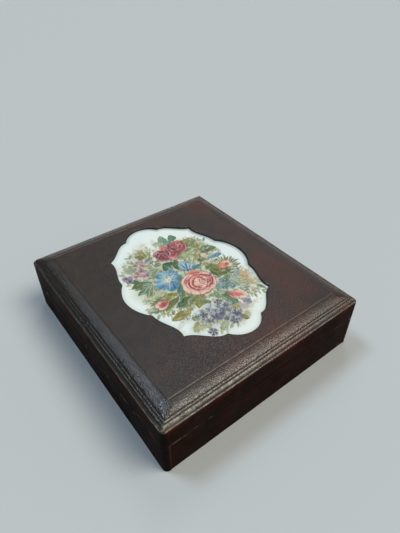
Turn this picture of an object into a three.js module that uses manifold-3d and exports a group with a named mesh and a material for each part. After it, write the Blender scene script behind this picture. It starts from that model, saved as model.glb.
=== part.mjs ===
// A leather-covered box with a lift-off lid and a painted panel set behind a shaped window in the lid.
// Millimetres, +Z up. The origin is on the underside, in the middle. Y is the longer side.
import * as THREE from 'three';
import { mergeVertices } from 'three/addons/utils/BufferGeometryUtils.js';
import Module from 'manifold-3d';

// Outside of the box
const boxWidth = 217; // along X
const boxLength = 240; // along Y
const baseHeight = 35.2; // underside to the line where the lid meets the base
const lidSideHeight = 20.6; // that line to the rim of the lid
const lidRise = 6.6; // rim to the flat top
const cornerRadius = 4.8; // upright edges, the leather turned round the corner
const softEdge = 0.7; // edges of the underside and of the meeting line
const rimRound = 1.2; // rim of the lid

// Boards, each with its leather
const floorThickness = 5;
const lidWall = 5.5; // side of the lid
const lipThickness = 2; // lining board of the base, which stands up inside the lid
const lipHeight = 4; // above the meeting line
const topThickness = 9; // flat top of the lid down to its underside
const innerCornerRadius = 1; // inside corners, and the corners of the tooled lines

// Clearances
const lipClearance = 0.4; // lip to the inside of the lid
const meetingGap = 0.3; // lid to base
const panelGap = 0.3; // panel to its recess, all round and underneath

// Tooled lines round the lid: distance in from the side, height of the leather there above the rim
const outerLine = { inset: 5, rise: 2.7, halfWidth: 0.7, depth: 0.9 };
const innerLine = { inset: 7.7, rise: 3.9, halfWidth: 0.6, depth: 0.8 };
const topLine = { inset: 17.4, rise: lidRise, halfWidth: 0.6, depth: 0.6 };

// Window in the lid: a lobe on each side, an S-curve from each lobe to four pointed ears
const windowSideMargin = 41.4; // side of the box to the tip of a side lobe
const windowEndMargin = 27.2; // end of the box to the tip of an end lobe
const sideLobe = { halfChord: 26, rise: 10.2 };
const endLobe = { halfChord: 19.5, rise: 11 };
const earFromSideTip = 17.3; // ear back from the side lobe's tip, along X
const earFromEndTip = 31; // ear back from the end lobe's tip, along Y
const sideCurve = { leaveNotch: [0.3, 14], reachEar: [-3.8, -12] }; // handles of the long S-curves
const endCurve = { leaveEar: [-12, 3.5], reachNotch: [12.5, 0.5] }; // handles of the short S-curves
const windowDepth = 2.2; // leather face down to the painted face

// Painted panel
const panelThickness = 1.5;

const cutOvershoot = 1; // the window's cutter stands this far above the lid

// Facets
const cornerSteps = 6;
const lobeSteps = 7; // half a lobe
const curveSteps = 8;

const rimHeight = baseHeight + lidSideHeight;
const topHeight = rimHeight + lidRise;
const panelFace = topHeight - windowDepth;
const recessFloor = panelFace - panelThickness - panelGap;
const halfWidth = boxWidth / 2;
const halfLength = boxLength / 2;

// Points of the box's plan outline moved in by inset, anticlockwise from the +X side
function planRing(inset) {
  const radius = Math.max(cornerRadius - inset, innerCornerRadius);
  const x = halfWidth - inset - radius;
  const y = halfLength - inset - radius;
  const centres = [[x, y], [-x, y], [-x, -y], [x, -y]];
  const points = [];
  centres.forEach(([cx, cy], corner) => {
    for (let step = 0; step <= cornerSteps; step++) {
      const angle = (corner + step / cornerSteps) * Math.PI / 2;
      points.push(new THREE.Vector2(cx + radius * Math.cos(angle), cy + radius * Math.sin(angle)));
    }
  });
  return points;
}

// Closed body through stations of [inset, height], each a ring of the plan; flat caps close both ends
function ringBody(stations) {
  const positions = [];
  const indices = [];
  const count = planRing(0).length;
  stations.forEach(([inset, height]) => {
    planRing(inset).forEach((point) => positions.push(point.x, point.y, height));
  });
  for (let ring = 0; ring < stations.length - 1; ring++) {
    for (let i = 0; i < count; i++) {
      const a = ring * count + i;
      const b = ring * count + (i + 1) % count;
      indices.push(a, b, b + count, a, b + count, a + count);
    }
  }
  const last = (stations.length - 1) * count;
  for (let i = 1; i < count - 1; i++) {
    indices.push(0, i + 1, i);
    indices.push(last, last + i, last + i + 1);
  }
  const geometry = new THREE.BufferGeometry();
  geometry.setAttribute('position', new THREE.Float32BufferAttribute(positions, 3));
  geometry.setIndex(indices);
  return geometry;
}

// Stations of an edge rounded from [inset, height] on the side to the level above or below it
function roundedEdge(radius, height, direction) {
  return [0, 0.5, 1].map((share) => {
    const angle = share * Math.PI / 2;
    return [radius * (1 - Math.cos(angle)), height + direction * radius * (Math.sin(angle) - 1)];
  });
}

// Height of the lid's leather at a distance in from the side, without the tooled lines
function leatherHeight(inset) {
  const knots = [
    [rimRound, 0],
    [outerLine.inset, outerLine.rise],
    [innerLine.inset, innerLine.rise],
    [topLine.inset, topLine.rise],
  ];
  const next = knots.findIndex(([knotInset]) => knotInset > inset);
  if (next < 0) return rimHeight + lidRise;
  const [fromInset, fromRise] = knots[next - 1];
  const [toInset, toRise] = knots[next];
  return rimHeight + THREE.MathUtils.mapLinear(inset, fromInset, toInset, fromRise, toRise);
}

// Stations of a V pressed into the leather along a tooled line
function pressedLine(line) {
  const near = line.inset - line.halfWidth;
  const far = line.inset + line.halfWidth;
  return [
    [near, leatherHeight(near)],
    [line.inset, rimHeight + line.rise - line.depth],
    [far, leatherHeight(far)],
  ];
}

function lobe({ halfChord, rise }) {
  const radius = (halfChord ** 2 + rise ** 2) / (2 * rise);
  const halfAngle = Math.asin(halfChord / radius);
  return { radius, halfAngle };
}

// One quarter of the window, from the tip of the +X lobe to the tip of the +Y lobe
function windowQuarter() {
  const tipX = halfWidth - windowSideMargin;
  const tipY = halfLength - windowEndMargin;
  const side = lobe(sideLobe);
  const end = lobe(endLobe);
  const sideNotch = new THREE.Vector2(tipX - sideLobe.rise, sideLobe.halfChord);
  const endNotch = new THREE.Vector2(endLobe.halfChord, tipY - endLobe.rise);
  const ear = new THREE.Vector2(tipX - earFromSideTip, tipY - earFromEndTip);
  const handle = (from, [dx, dy]) => new THREE.Vector2(from.x + dx, from.y + dy);
  const longCurve = new THREE.CubicBezierCurve(
    sideNotch,
    handle(sideNotch, sideCurve.leaveNotch),
    handle(ear, sideCurve.reachEar),
    ear,
  );
  const shortCurve = new THREE.CubicBezierCurve(
    ear,
    handle(ear, endCurve.leaveEar),
    handle(endNotch, endCurve.reachNotch),
    endNotch,
  );
  const points = [];
  for (let step = 0; step < lobeSteps; step++) {
    const angle = side.halfAngle * step / lobeSteps;
    points.push(new THREE.Vector2(
      tipX - side.radius * (1 - Math.cos(angle)),
      side.radius * Math.sin(angle),
    ));
  }
  points.push(...longCurve.getPoints(curveSteps).slice(0, -1));
  points.push(...shortCurve.getPoints(curveSteps));
  for (let step = 1; step <= lobeSteps; step++) {
    const angle = end.halfAngle * (1 - step / lobeSteps);
    points.push(new THREE.Vector2(
      end.radius * Math.sin(angle),
      tipY - end.radius * (1 - Math.cos(angle)),
    ));
  }
  return points;
}

// The whole window, anticlockwise: the quarter mirrored to the four sides
function windowOutline() {
  const quarter = windowQuarter();
  const mirrored = [...quarter].reverse();
  const place = (points, sx, sy) => points.slice(0, -1).map((p) => new THREE.Vector2(sx * p.x, sy * p.y));
  return [
    ...place(quarter, 1, 1),
    ...place(mirrored, -1, 1),
    ...place(quarter, -1, -1),
    ...place(mirrored, 1, -1),
  ];
}

// A closed anticlockwise outline moved in by a distance, mitred at its corners
function shrunk(outline, distance) {
  const count = outline.length;
  const normal = (from, to) => new THREE.Vector2(from.y - to.y, to.x - from.x).normalize();
  return outline.map((point, i) => {
    const before = normal(outline[(i + count - 1) % count], point);
    const after = normal(point, outline[(i + 1) % count]);
    const middle = before.clone().add(after);
    return point.clone().addScaledVector(middle, distance / (1 + before.dot(after)));
  });
}

function plate(outline, thickness) {
  return new THREE.ExtrudeGeometry(new THREE.Shape(outline), { depth: thickness, bevelEnabled: false });
}

// Solids for the boolean cut, and back to a mesh
const wasm = await Module();
wasm.setup();

function solid(geometry) {
  const bare = geometry.clone();
  bare.deleteAttribute('normal');
  bare.deleteAttribute('uv');
  const merged = mergeVertices(bare);
  return new wasm.Manifold(new wasm.Mesh({
    numProp: 3,
    vertProperties: merged.attributes.position.array,
    triVerts: Uint32Array.from(merged.index.array),
  }));
}

function toGeometry(body) {
  const mesh = body.getMesh();
  const geometry = new THREE.BufferGeometry();
  geometry.setAttribute('position', new THREE.BufferAttribute(mesh.vertProperties, mesh.numProp));
  geometry.setIndex(new THREE.BufferAttribute(mesh.triVerts, 1));
  return geometry;
}

// Open tray: underside, outer side, meeting edge, lip, inner side, floor
function baseGeometry() {
  const lipOuter = lidWall + lipClearance;
  const lipInner = lipOuter + lipThickness;
  const lipTop = baseHeight + lipHeight;
  return ringBody([
    ...roundedEdge(softEdge, 0, -1).reverse(),
    ...roundedEdge(softEdge, baseHeight, 1),
    [lipOuter, baseHeight],
    [lipOuter, lipTop],
    [lipInner, lipTop],
    [lipInner, floorThickness],
  ]);
}

// Hollow lid: underside of the top, inner side, meeting edge, outer side, rim, band, lines, flat top
function lidGeometry() {
  const bottom = baseHeight + meetingGap;
  const body = ringBody([
    [lidWall, topHeight - topThickness],
    [lidWall, bottom],
    ...roundedEdge(softEdge, bottom, -1).reverse(),
    ...roundedEdge(rimRound, rimHeight, 1),
    ...pressedLine(outerLine),
    ...pressedLine(innerLine),
    ...pressedLine(topLine),
  ]);
  const cutter = plate(windowOutline(), topHeight - recessFloor + cutOvershoot);
  cutter.translate(0, 0, recessFloor);
  return toGeometry(solid(body).subtract(solid(cutter)));
}

function panelGeometry() {
  const geometry = plate(shrunk(windowOutline(), panelGap), panelThickness);
  geometry.translate(0, 0, recessFloor + panelGap);
  return geometry;
}

const leather = { color: 0x33231c, roughness: 0.45, metalness: 0 };
const paintedCard = { color: 0xe4e7de, roughness: 0.6, metalness: 0 };

function piece(name, geometry, finish) {
  const mesh = new THREE.Mesh(geometry, new THREE.MeshStandardMaterial(finish));
  mesh.name = name;
  return mesh;
}

const box = new THREE.Group();
box.add(piece('base', baseGeometry(), leather));
box.add(piece('lid', lidGeometry(), leather));
box.add(piece('painted_panel', panelGeometry(), paintedCard));

export default box;
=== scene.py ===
import math

import bpy
import bmesh
import numpy as np
from mathutils import Euler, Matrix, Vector
from mathutils.geometry import delaunay_2d_cdt


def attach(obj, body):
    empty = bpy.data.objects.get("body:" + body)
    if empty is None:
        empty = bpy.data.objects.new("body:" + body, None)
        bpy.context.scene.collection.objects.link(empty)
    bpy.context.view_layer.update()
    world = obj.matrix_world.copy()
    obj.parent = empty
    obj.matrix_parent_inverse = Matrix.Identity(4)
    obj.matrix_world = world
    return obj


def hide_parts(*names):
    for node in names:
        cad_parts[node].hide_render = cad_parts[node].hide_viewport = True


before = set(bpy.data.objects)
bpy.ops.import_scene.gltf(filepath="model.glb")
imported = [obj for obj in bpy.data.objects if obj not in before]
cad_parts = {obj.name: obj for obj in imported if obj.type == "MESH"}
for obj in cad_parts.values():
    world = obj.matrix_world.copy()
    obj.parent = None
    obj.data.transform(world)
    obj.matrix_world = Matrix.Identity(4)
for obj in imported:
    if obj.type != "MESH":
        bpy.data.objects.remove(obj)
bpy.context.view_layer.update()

MM = 0.001

# Outside of the box, as in the solids
BOX_WIDTH = 217.0
BOX_LENGTH = 240.0
BASE_HEIGHT = 35.2
LID_SIDE_HEIGHT = 20.6
LID_RISE = 6.6
CORNER_RADIUS = 4.8
SOFT_EDGE = 0.7
LIP_BEVEL = 0.3
RIM_ROUND = 1.2
FLOOR_THICKNESS = 5.0
LID_WALL = 5.5
LIP_THICKNESS = 2.0
LIP_HEIGHT = 4.0
TOP_THICKNESS = 9.0
INNER_CORNER_RADIUS = 1.0
LIP_CLEARANCE = 0.4
MEETING_GAP = 0.3
PANEL_GAP = 0.3

HALF_WIDTH = BOX_WIDTH / 2
HALF_LENGTH = BOX_LENGTH / 2
RIM_HEIGHT = BASE_HEIGHT + LID_SIDE_HEIGHT
TOP_HEIGHT = RIM_HEIGHT + LID_RISE

# Tooled lines: distance in from the side, height of the leather there above the rim
OUTER_LINE = {"inset": 5.0, "rise": 2.7, "half_width": 0.5, "depth": 0.45}
INNER_LINE = {"inset": 6.9, "rise": 3.6, "half_width": 0.45, "depth": 0.4}
TOP_LINE = {"inset": 17.1, "rise": LID_RISE, "half_width": 0.45, "depth": 0.3}
BAND_SWELL = 0.6  # how far the band between rim and lines stands out from a straight slope
BEVEL_CURVE = 1.65  # 1 is a straight bevel; more is steeper at the lines and level at the top
MITRE_ROUND = 6.0  # how softly the bevels meet at the corners

# Window: a lobe on each side, joined by S-curves that meet in four pointed ears
WINDOW_SIDE_MARGIN = 41.4
WINDOW_END_MARGIN = 27.2
SIDE_LOBE = {"half_chord": 26.0, "rise": 10.2}
END_LOBE = {"half_chord": 19.5, "rise": 11.0}
WINDOW_MIDDLE = (2.0, 1.6)  # it was cut a little off the middle of the lid
WINDOW_TURN = 1.0
EAR_FROM_SIDE_TIP = 17.3
EAR_FROM_END_TIP = 31.0
LEAVE_SIDE_NOTCH = (0.3, 14.0)
REACH_EAR = (-3.8, -12.0)
LEAVE_EAR = (-12.0, 3.5)
REACH_END_NOTCH = (12.5, 0.5)
WINDOW_DEPTH = 2.2
PANEL_THICKNESS = 1.5
PANEL_FACE = TOP_HEIGHT - WINDOW_DEPTH
RECESS_FLOOR = PANEL_FACE - PANEL_THICKNESS - PANEL_GAP
# The leather's turned edge: distance out from the window, drop below the flat top
WINDOW_EDGE = ((1.7, 0.0), (1.15, 0.03), (0.75, 0.11), (0.42, 0.27), (0.17, 0.52), (0.03, 0.85))

# How finely the pieces are meshed
ARC_STEPS = 12
CELL_ALONG = 1.2
CELL_UP = 1.1
CAP_CELL = 9.0
TOP_CELL = 2.6
PANEL_CELL = 0.47
LOBE_STEPS = 22
CURVE_STEPS = 26
ACROSS_LINE = 9
ACROSS_BAND = 6
BETWEEN_LINES = 3
ACROSS_BEVEL = 7

# Leather turned round an upright corner ends in a low step on the front and back faces
LAP_FROM_CORNER = 5.7
LAP_STEP = 0.28
LAP_SOFTNESS = 0.2
LAP_FADE = (2, 30)  # how far beyond the step it starts and stops getting lower
LAP_FADE_SHARE = 0.75

# Unevenness left by hand work: how deep, and how long its waves are
SIDE_WAVE = (0.11, 38)
SIDE_RIPPLE = (0.04, 9)
RIM_RUB = (0.12, 15)
RIM_RUB_REACH = 1.6
CARD_WAVE = (0.05, 42)
LINE_WAVER = 0.16
LINE_WAVER_LENGTH = 24
TOP_SAG = 0.11
TOP_SAG_WAVE = (0.08, 34)
TOP_SAG_RIPPLE = (0.03, 11)
TOP_SAG_REACH = (0.5, 14)  # from the single line to where the flat top has sunk
SIDE_REACH = (0.6, 3.0)  # insets over which the sides' unevenness ends
LINES_REACH = (2.5, 4.0)  # and those over which the lines start to waver

NOISE_TABLE = 128
BESIDE_CORNER = (0.4, 0.7, 0.9, 1.2, 1.8, 2.8)  # distances of the first points from a corner


def smoothstep(low, high, value):
    share = np.clip((value - low) / (high - low), 0, 1)
    return share * share * (3 - 2 * share)


def turned(x, y, angle):
    """x and y turned anticlockwise by an angle in radians."""
    return x * math.cos(angle) - y * math.sin(angle), x * math.sin(angle) + y * math.cos(angle)


def soft_noise(u, v, cell, seed):
    """Smooth noise from -1 to 1 over a plane, the same on every run."""
    table = np.random.default_rng(seed).uniform(-1, 1, (NOISE_TABLE, NOISE_TABLE))
    u = np.asarray(u, float) / cell
    v = np.asarray(v, float) / cell
    i = np.floor(u).astype(int)
    j = np.floor(v).astype(int)
    across = smoothstep(0, 1, u - i)
    along = smoothstep(0, 1, v - j)
    i0, i1 = i % NOISE_TABLE, (i + 1) % NOISE_TABLE
    j0, j1 = j % NOISE_TABLE, (j + 1) % NOISE_TABLE
    low = table[i0, j0] * (1 - across) + table[i1, j0] * across
    high = table[i0, j1] * (1 - across) + table[i1, j1] * across
    return low * (1 - along) + high * along


def uneven(wave, u, v, seed):
    """Soft noise that starts at 0. wave is its middle depth and the length of its waves."""
    depth, length = wave
    return depth + depth * soft_noise(u, v, length, seed)


# Rings round the box's plan. Every ring has the same count of points, in the same order.

def straight_shares(length):
    """Where the points of one straight side lie, closer together beside the corners."""
    near = np.array(BESIDE_CORNER) / length
    middle = np.linspace(near[-1], 1 - near[-1], int(length / CELL_ALONG))
    return np.concatenate([near[:-1], middle, (1 - near[:-1])[::-1]])


LONG_SHARES = straight_shares(BOX_LENGTH - 2 * CORNER_RADIUS)
SHORT_SHARES = straight_shares(BOX_WIDTH - 2 * CORNER_RADIUS)


def plain_radius(inset):
    return max(CORNER_RADIUS - inset, INNER_CORNER_RADIUS)


def bevel_radius(inset):
    """Corner radius on top of the lid, wider half way up the bevel so that its sides meet softly."""
    share = np.clip((inset - INNER_LINE["inset"]) / (TOP_LINE["inset"] - INNER_LINE["inset"]), 0, 1)
    return plain_radius(inset) + MITRE_ROUND * math.sin(math.pi * share)


def plan_ring(inset, radius_at=plain_radius):
    """Points and outward directions of the plan outline moved in by inset."""
    radius = radius_at(inset)
    x = HALF_WIDTH - inset - radius
    y = HALF_LENGTH - inset - radius
    centres = [(x, y), (-x, y), (-x, -y), (x, -y)]
    points = []
    outward = []
    for corner, (cx, cy) in enumerate(centres):
        for step in range(ARC_STEPS + 1):
            angle = (corner + step / ARC_STEPS) * math.pi / 2
            direction = (math.cos(angle), math.sin(angle))
            points.append((cx + radius * direction[0], cy + radius * direction[1]))
            outward.append(direction)
        next_x, next_y = centres[(corner + 1) % 4]
        shares = SHORT_SHARES if corner % 2 == 0 else LONG_SHARES
        start = points[-1]
        end = (next_x + radius * direction[0], next_y + radius * direction[1])
        for share in shares:
            points.append((start[0] + (end[0] - start[0]) * share, start[1] + (end[1] - start[1]) * share))
            outward.append(direction)
    return np.array(points), np.array(outward)


RING_POINTS, RING_OUTWARD = plan_ring(0)
RING_COUNT = len(RING_POINTS)
RING_STEPS = np.linalg.norm(np.roll(RING_POINTS, -1, axis=0) - RING_POINTS, axis=1)
RING_PLACES = np.concatenate([[0], np.cumsum(RING_STEPS)[:-1]])


def lap_depth():
    """How far each ring point lies in because the leather of the sides laps over the front and back."""
    on_front_or_back = np.abs(RING_OUTWARD[:, 1]) > 0.999
    beyond = HALF_WIDTH - np.abs(RING_POINTS[:, 0]) - LAP_FROM_CORNER
    step = smoothstep(-LAP_SOFTNESS, LAP_SOFTNESS, beyond)
    fade = 1 - LAP_FADE_SHARE * smoothstep(*LAP_FADE, beyond)
    return np.where(on_front_or_back, LAP_STEP * step * fade, 0)


RING_LAP = lap_depth()


def leather_height(inset):
    """Height of the lid's leather at a distance in from the side, without the tooled lines."""
    insets = [RIM_ROUND, OUTER_LINE["inset"], INNER_LINE["inset"]]
    rises = [0, OUTER_LINE["rise"], INNER_LINE["rise"]]
    band = np.clip((inset - RIM_ROUND) / (OUTER_LINE["inset"] - RIM_ROUND), 0, 1)
    bevel = np.clip((inset - INNER_LINE["inset"]) / (TOP_LINE["inset"] - INNER_LINE["inset"]), 0, 1)
    band_rise = np.interp(inset, insets, rises) + BAND_SWELL * np.sin(math.pi * band)
    bevel_rise = (LID_RISE - INNER_LINE["rise"]) * (1 - (1 - bevel) ** BEVEL_CURVE)
    return RIM_HEIGHT + band_rise + bevel_rise


def pressed(inset, line):
    """Depth of one tooled line: a rounded groove with soft shoulders."""
    across = np.clip(np.abs(inset - line["inset"]) / line["half_width"], 0, 1)
    return line["depth"] * (0.5 + 0.5 * np.cos(math.pi * across)) ** 0.8


def lid_surface(inset):
    height = leather_height(inset)
    for line in (OUTER_LINE, INNER_LINE, TOP_LINE):
        height = height - pressed(inset, line)
    return height


def rounded_edge(radius, height, direction, steps=5):
    """Stations of an edge rounded from the side to the level above or below it."""
    stations = []
    for step in range(steps + 1):
        angle = step / steps * math.pi / 2
        rise = direction * radius * (math.sin(angle) - 1)
        stations.append((radius * (1 - math.cos(angle)), height + rise))
    return stations


def upright(inset, low, high):
    """Stations up a plain side, between the rounded edges."""
    count = int((high - low) / CELL_UP)
    return [(inset, z) for z in np.linspace(low, high, count + 2)[1:-1]]


def ring_wall(stations, sway, radius_at=plain_radius):
    """Points of a skin through stations of (inset, height), each moved in and down by its sway."""
    rows = []
    for inset, height in stations:
        points, outward = plan_ring(inset, radius_at)
        inward, down = sway(inset, height)
        points = points - outward * np.reshape(inward, (-1, 1))
        heights = np.full(RING_COUNT, height) - down
        rows.append(np.column_stack([points, heights]))
    return rows


def outside_sway(inset, height):
    """The outer leather: sides pull in a little, lines waver, and the lap leaves its step."""
    on_side = 1 - smoothstep(*SIDE_REACH, inset)
    on_top = smoothstep(*LINES_REACH, inset)
    wave = uneven(SIDE_WAVE, RING_PLACES, height * 2.2, 11)
    ripple = uneven(SIDE_RIPPLE, RING_PLACES, height * 1.4, 12)
    waver = LINE_WAVER * soft_noise(RING_PLACES, inset * 0.3, LINE_WAVER_LENGTH, 13) * on_top
    inward = (wave + ripple + RING_LAP) * on_side + waver + LINE_WAVER * on_top
    near_rim = np.exp(-((inset - RIM_ROUND) / RIM_RUB_REACH) ** 2) * float(height > RIM_HEIGHT - 2)
    return inward, uneven(RIM_RUB, RING_PLACES, 0, 14) * near_rim


def no_sway(inset, height):
    return np.zeros(RING_COUNT), np.zeros(RING_COUNT)


# The window's outline

def cubic(start, leave, reach, end, steps):
    """Points of a cubic curve from start up to, and without, its end."""
    shares = np.arange(steps).reshape(-1, 1) / steps
    p0, p3 = np.array(start), np.array(end)
    p1, p2 = p0 + leave, p3 + reach
    back = 1 - shares
    return back**3 * p0 + 3 * back**2 * shares * p1 + 3 * back * shares**2 * p2 + shares**3 * p3


def lobe_circle(lobe):
    """Radius and half angle of the arc through a lobe's chord and tip."""
    radius = (lobe["half_chord"] ** 2 + lobe["rise"] ** 2) / (2 * lobe["rise"])
    return radius, math.asin(lobe["half_chord"] / radius)


def window_quarter():
    """From the tip of the +X lobe to the tip of the +Y lobe."""
    tip_x = HALF_WIDTH - WINDOW_SIDE_MARGIN
    tip_y = HALF_LENGTH - WINDOW_END_MARGIN
    side_notch = (tip_x - SIDE_LOBE["rise"], SIDE_LOBE["half_chord"])
    end_notch = (END_LOBE["half_chord"], tip_y - END_LOBE["rise"])
    ear = (tip_x - EAR_FROM_SIDE_TIP, tip_y - EAR_FROM_END_TIP)
    side_radius, side_angle = lobe_circle(SIDE_LOBE)
    end_radius, end_angle = lobe_circle(END_LOBE)
    side_turn = side_angle * np.arange(LOBE_STEPS) / LOBE_STEPS
    end_turn = end_angle * (1 - np.arange(LOBE_STEPS + 1) / LOBE_STEPS)
    side_x = tip_x - side_radius * (1 - np.cos(side_turn))
    end_y = tip_y - end_radius * (1 - np.cos(end_turn))
    return np.concatenate([
        np.column_stack([side_x, side_radius * np.sin(side_turn)]),
        cubic(side_notch, LEAVE_SIDE_NOTCH, REACH_EAR, ear, CURVE_STEPS),
        cubic(ear, LEAVE_EAR, REACH_END_NOTCH, end_notch, CURVE_STEPS),
        np.column_stack([end_radius * np.sin(end_turn), end_y]),
    ])


def window_outline():
    """The whole window, anticlockwise: the quarter mirrored to the four sides."""
    quarter = window_quarter()
    mirrored = quarter[::-1]
    parts = [quarter * (1, 1), mirrored * (-1, 1), quarter * (-1, -1), mirrored * (1, -1)]
    x, y = np.concatenate([part[:-1] for part in parts]).T
    return np.column_stack(turned(x, y, math.radians(WINDOW_TURN))) + WINDOW_MIDDLE


def grown(outline, distance):
    """A closed anticlockwise outline moved out by a distance, mitred at its corners."""
    before = outline - np.roll(outline, 1, axis=0)
    after = np.roll(outline, -1, axis=0) - outline
    before = before / np.linalg.norm(before, axis=1, keepdims=True)
    after = after / np.linalg.norm(after, axis=1, keepdims=True)
    out_before = np.column_stack([before[:, 1], -before[:, 0]])
    out_after = np.column_stack([after[:, 1], -after[:, 0]])
    reach = 1 + np.sum(out_before * out_after, axis=1, keepdims=True)
    return outline + (out_before + out_after) * distance / reach


def inside(points, outline):
    """Which points lie inside a closed outline."""
    within = np.zeros(len(points), bool)
    x, y = points[:, 0], points[:, 1]
    for (ax, ay), (bx, by) in zip(outline, np.roll(outline, -1, axis=0)):
        if ay == by:
            continue
        crosses = (ay > y) != (by > y)
        within ^= crosses & (x < (bx - ax) * (y - ay) / (by - ay) + ax)
    return within


def distance_to(points, outline):
    """Distance from each point to the nearest edge of a closed outline."""
    nearest = np.full(len(points), np.inf)
    for a, b in zip(outline, np.roll(outline, -1, axis=0)):
        edge = b - a
        share = np.clip(((points - a) @ edge) / (edge @ edge), 0, 1)
        nearest = np.minimum(nearest, np.linalg.norm(points - a - share[:, None] * edge, axis=1))
    return nearest


def loop_edges(start, count):
    return [(start + i, start + (i + 1) % count) for i in range(count)]


def triangulated(points, edges, keep):
    """Triangles between plan points along the edges. keep tells by their middles which ones stay."""
    result = delaunay_2d_cdt([Vector(p) for p in points], edges, [], 0, 1e-6)
    places = np.array([tuple(p) for p in result[0]])
    triangles = np.array(result[2])
    return places, triangles[keep(places[triangles].mean(axis=1))]


def filled(loops, loose, keep):
    """Triangles between closed loops of plan points, with loose points inside."""
    points = []
    edges = []
    for loop in loops:
        edges.extend(loop_edges(len(points), len(loop)))
        points.extend(loop)
    points.extend(loose)
    return triangulated(points, edges, keep)


def hex_points(half_x, half_y, cell):
    """Plan points in a triangular pattern."""
    rows = []
    for row, y in enumerate(np.arange(-half_y, half_y, cell * 0.866)):
        xs = np.arange(-half_x, half_x, cell) + (row % 2) * cell / 2
        rows.append(np.column_stack([xs, np.full(len(xs), y)]))
    return np.concatenate(rows)


# Meshes

class Skin:
    """Points and faces of one piece, gathered part by part, then welded into one closed mesh."""

    def __init__(self):
        self.points = []
        self.faces = []
        self.count = 0

    def add(self, points, faces):
        self.faces.extend([tuple(int(i) + self.count for i in face) for face in faces])
        self.points.append(np.asarray(points, float))
        self.count += len(points)

    def add_rows(self, rows):
        """A closed wall through rows of points."""
        size = len(rows[0])
        faces = []
        for row in range(len(rows) - 1):
            for i in range(size):
                a = row * size + i
                b = row * size + (i + 1) % size
                faces.append((a, b, b + size, a + size))
        self.add(np.concatenate(rows), faces)

    def add_sheet(self, plan, triangles, heights, upward=True):
        """A level sheet of triangles over plan points."""
        points = np.column_stack([plan, heights])
        self.add(points, triangles if upward else triangles[:, ::-1])

    def build(self, name):
        mesh = bpy.data.meshes.new(name)
        mesh.from_pydata((np.concatenate(self.points) * MM).tolist(), [], self.faces)
        work = bmesh.new()
        work.from_mesh(mesh)
        bmesh.ops.remove_doubles(work, verts=work.verts, dist=0.002 * MM)
        bmesh.ops.recalc_face_normals(work, faces=work.faces)
        work.to_mesh(mesh)
        work.free()
        mesh.shade_smooth()
        piece = bpy.data.objects.new(name, mesh)
        bpy.context.scene.collection.objects.link(piece)
        return piece


def places_of(piece):
    """The piece's points, in millimetres."""
    places = np.zeros(len(piece.data.vertices) * 3, np.float32)
    piece.data.vertices.foreach_get("co", places)
    return places.reshape(-1, 3).astype(float) / MM


def store(piece, name, values):
    """Keeps one number per point for the material to read."""
    layer = piece.data.attributes.new(name, "FLOAT", "POINT")
    layer.data.foreach_set("value", np.clip(values, 0, 1).astype(np.float32))


def plain_cap(skin, row, upward):
    """Closes a ring with a level sheet that has points inside, so that it shades evenly."""
    ring = np.asarray(row)[:, :2]
    loose = hex_points(HALF_WIDTH, HALF_LENGTH, CAP_CELL)
    loose = loose[inside(loose, ring * 0.97)]
    plan, triangles = filled([ring], loose, lambda middles: inside(middles, ring))
    skin.add_sheet(plan, triangles, np.full(len(plan), row[0][2]), upward)


def make_base():
    """Open tray: underside, outer side, meeting edge, lip, inner side, floor."""
    lip_outer = LID_WALL + LIP_CLEARANCE
    lip_inner = lip_outer + LIP_THICKNESS
    lip_top = BASE_HEIGHT + LIP_HEIGHT
    outer = rounded_edge(SOFT_EDGE, 0, -1)[::-1]
    outer += upright(0, SOFT_EDGE, BASE_HEIGHT - SOFT_EDGE)
    outer += rounded_edge(SOFT_EDGE, BASE_HEIGHT, 1)
    inner = [
        (lip_outer, BASE_HEIGHT),
        (lip_outer, lip_top - LIP_BEVEL),
        (lip_outer + LIP_BEVEL, lip_top),
        (lip_inner - LIP_BEVEL, lip_top),
        (lip_inner, lip_top - LIP_BEVEL),
        (lip_inner, FLOOR_THICKNESS),
    ]
    rows = ring_wall(outer, outside_sway) + ring_wall(inner, no_sway)
    skin = Skin()
    skin.add_rows(rows)
    plain_cap(skin, rows[0], upward=False)
    plain_cap(skin, rows[-1], upward=True)
    return skin.build("leather_base")


def line_stations(line):
    """Stations across one tooled line."""
    insets = line["inset"] + line["half_width"] * np.linspace(-1, 1, ACROSS_LINE)
    return [(inset, lid_surface(inset)) for inset in insets]


def spread(start, end, count):
    """Stations over the plain leather between two tooled lines."""
    insets = np.linspace(start, end, count + 2)[1:-1]
    return [(inset, lid_surface(inset)) for inset in insets]


def edge_of(line, side):
    return line["inset"] + side * line["half_width"]


FLAT_START = edge_of(TOP_LINE, 1) + 0.9


def top_dip(plan):
    """The flat top sinks a little inside its line, unevenly, as leather over a board does."""
    x, y = plan.T
    wave, wave_length = TOP_SAG_WAVE
    ripple, ripple_length = TOP_SAG_RIPPLE
    sag = TOP_SAG + wave * soft_noise(x, y, wave_length, 21) + ripple * soft_noise(x, y, ripple_length, 22)
    return sag * smoothstep(*TOP_SAG_REACH, plan_inset(plan) - TOP_LINE["inset"])


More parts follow.
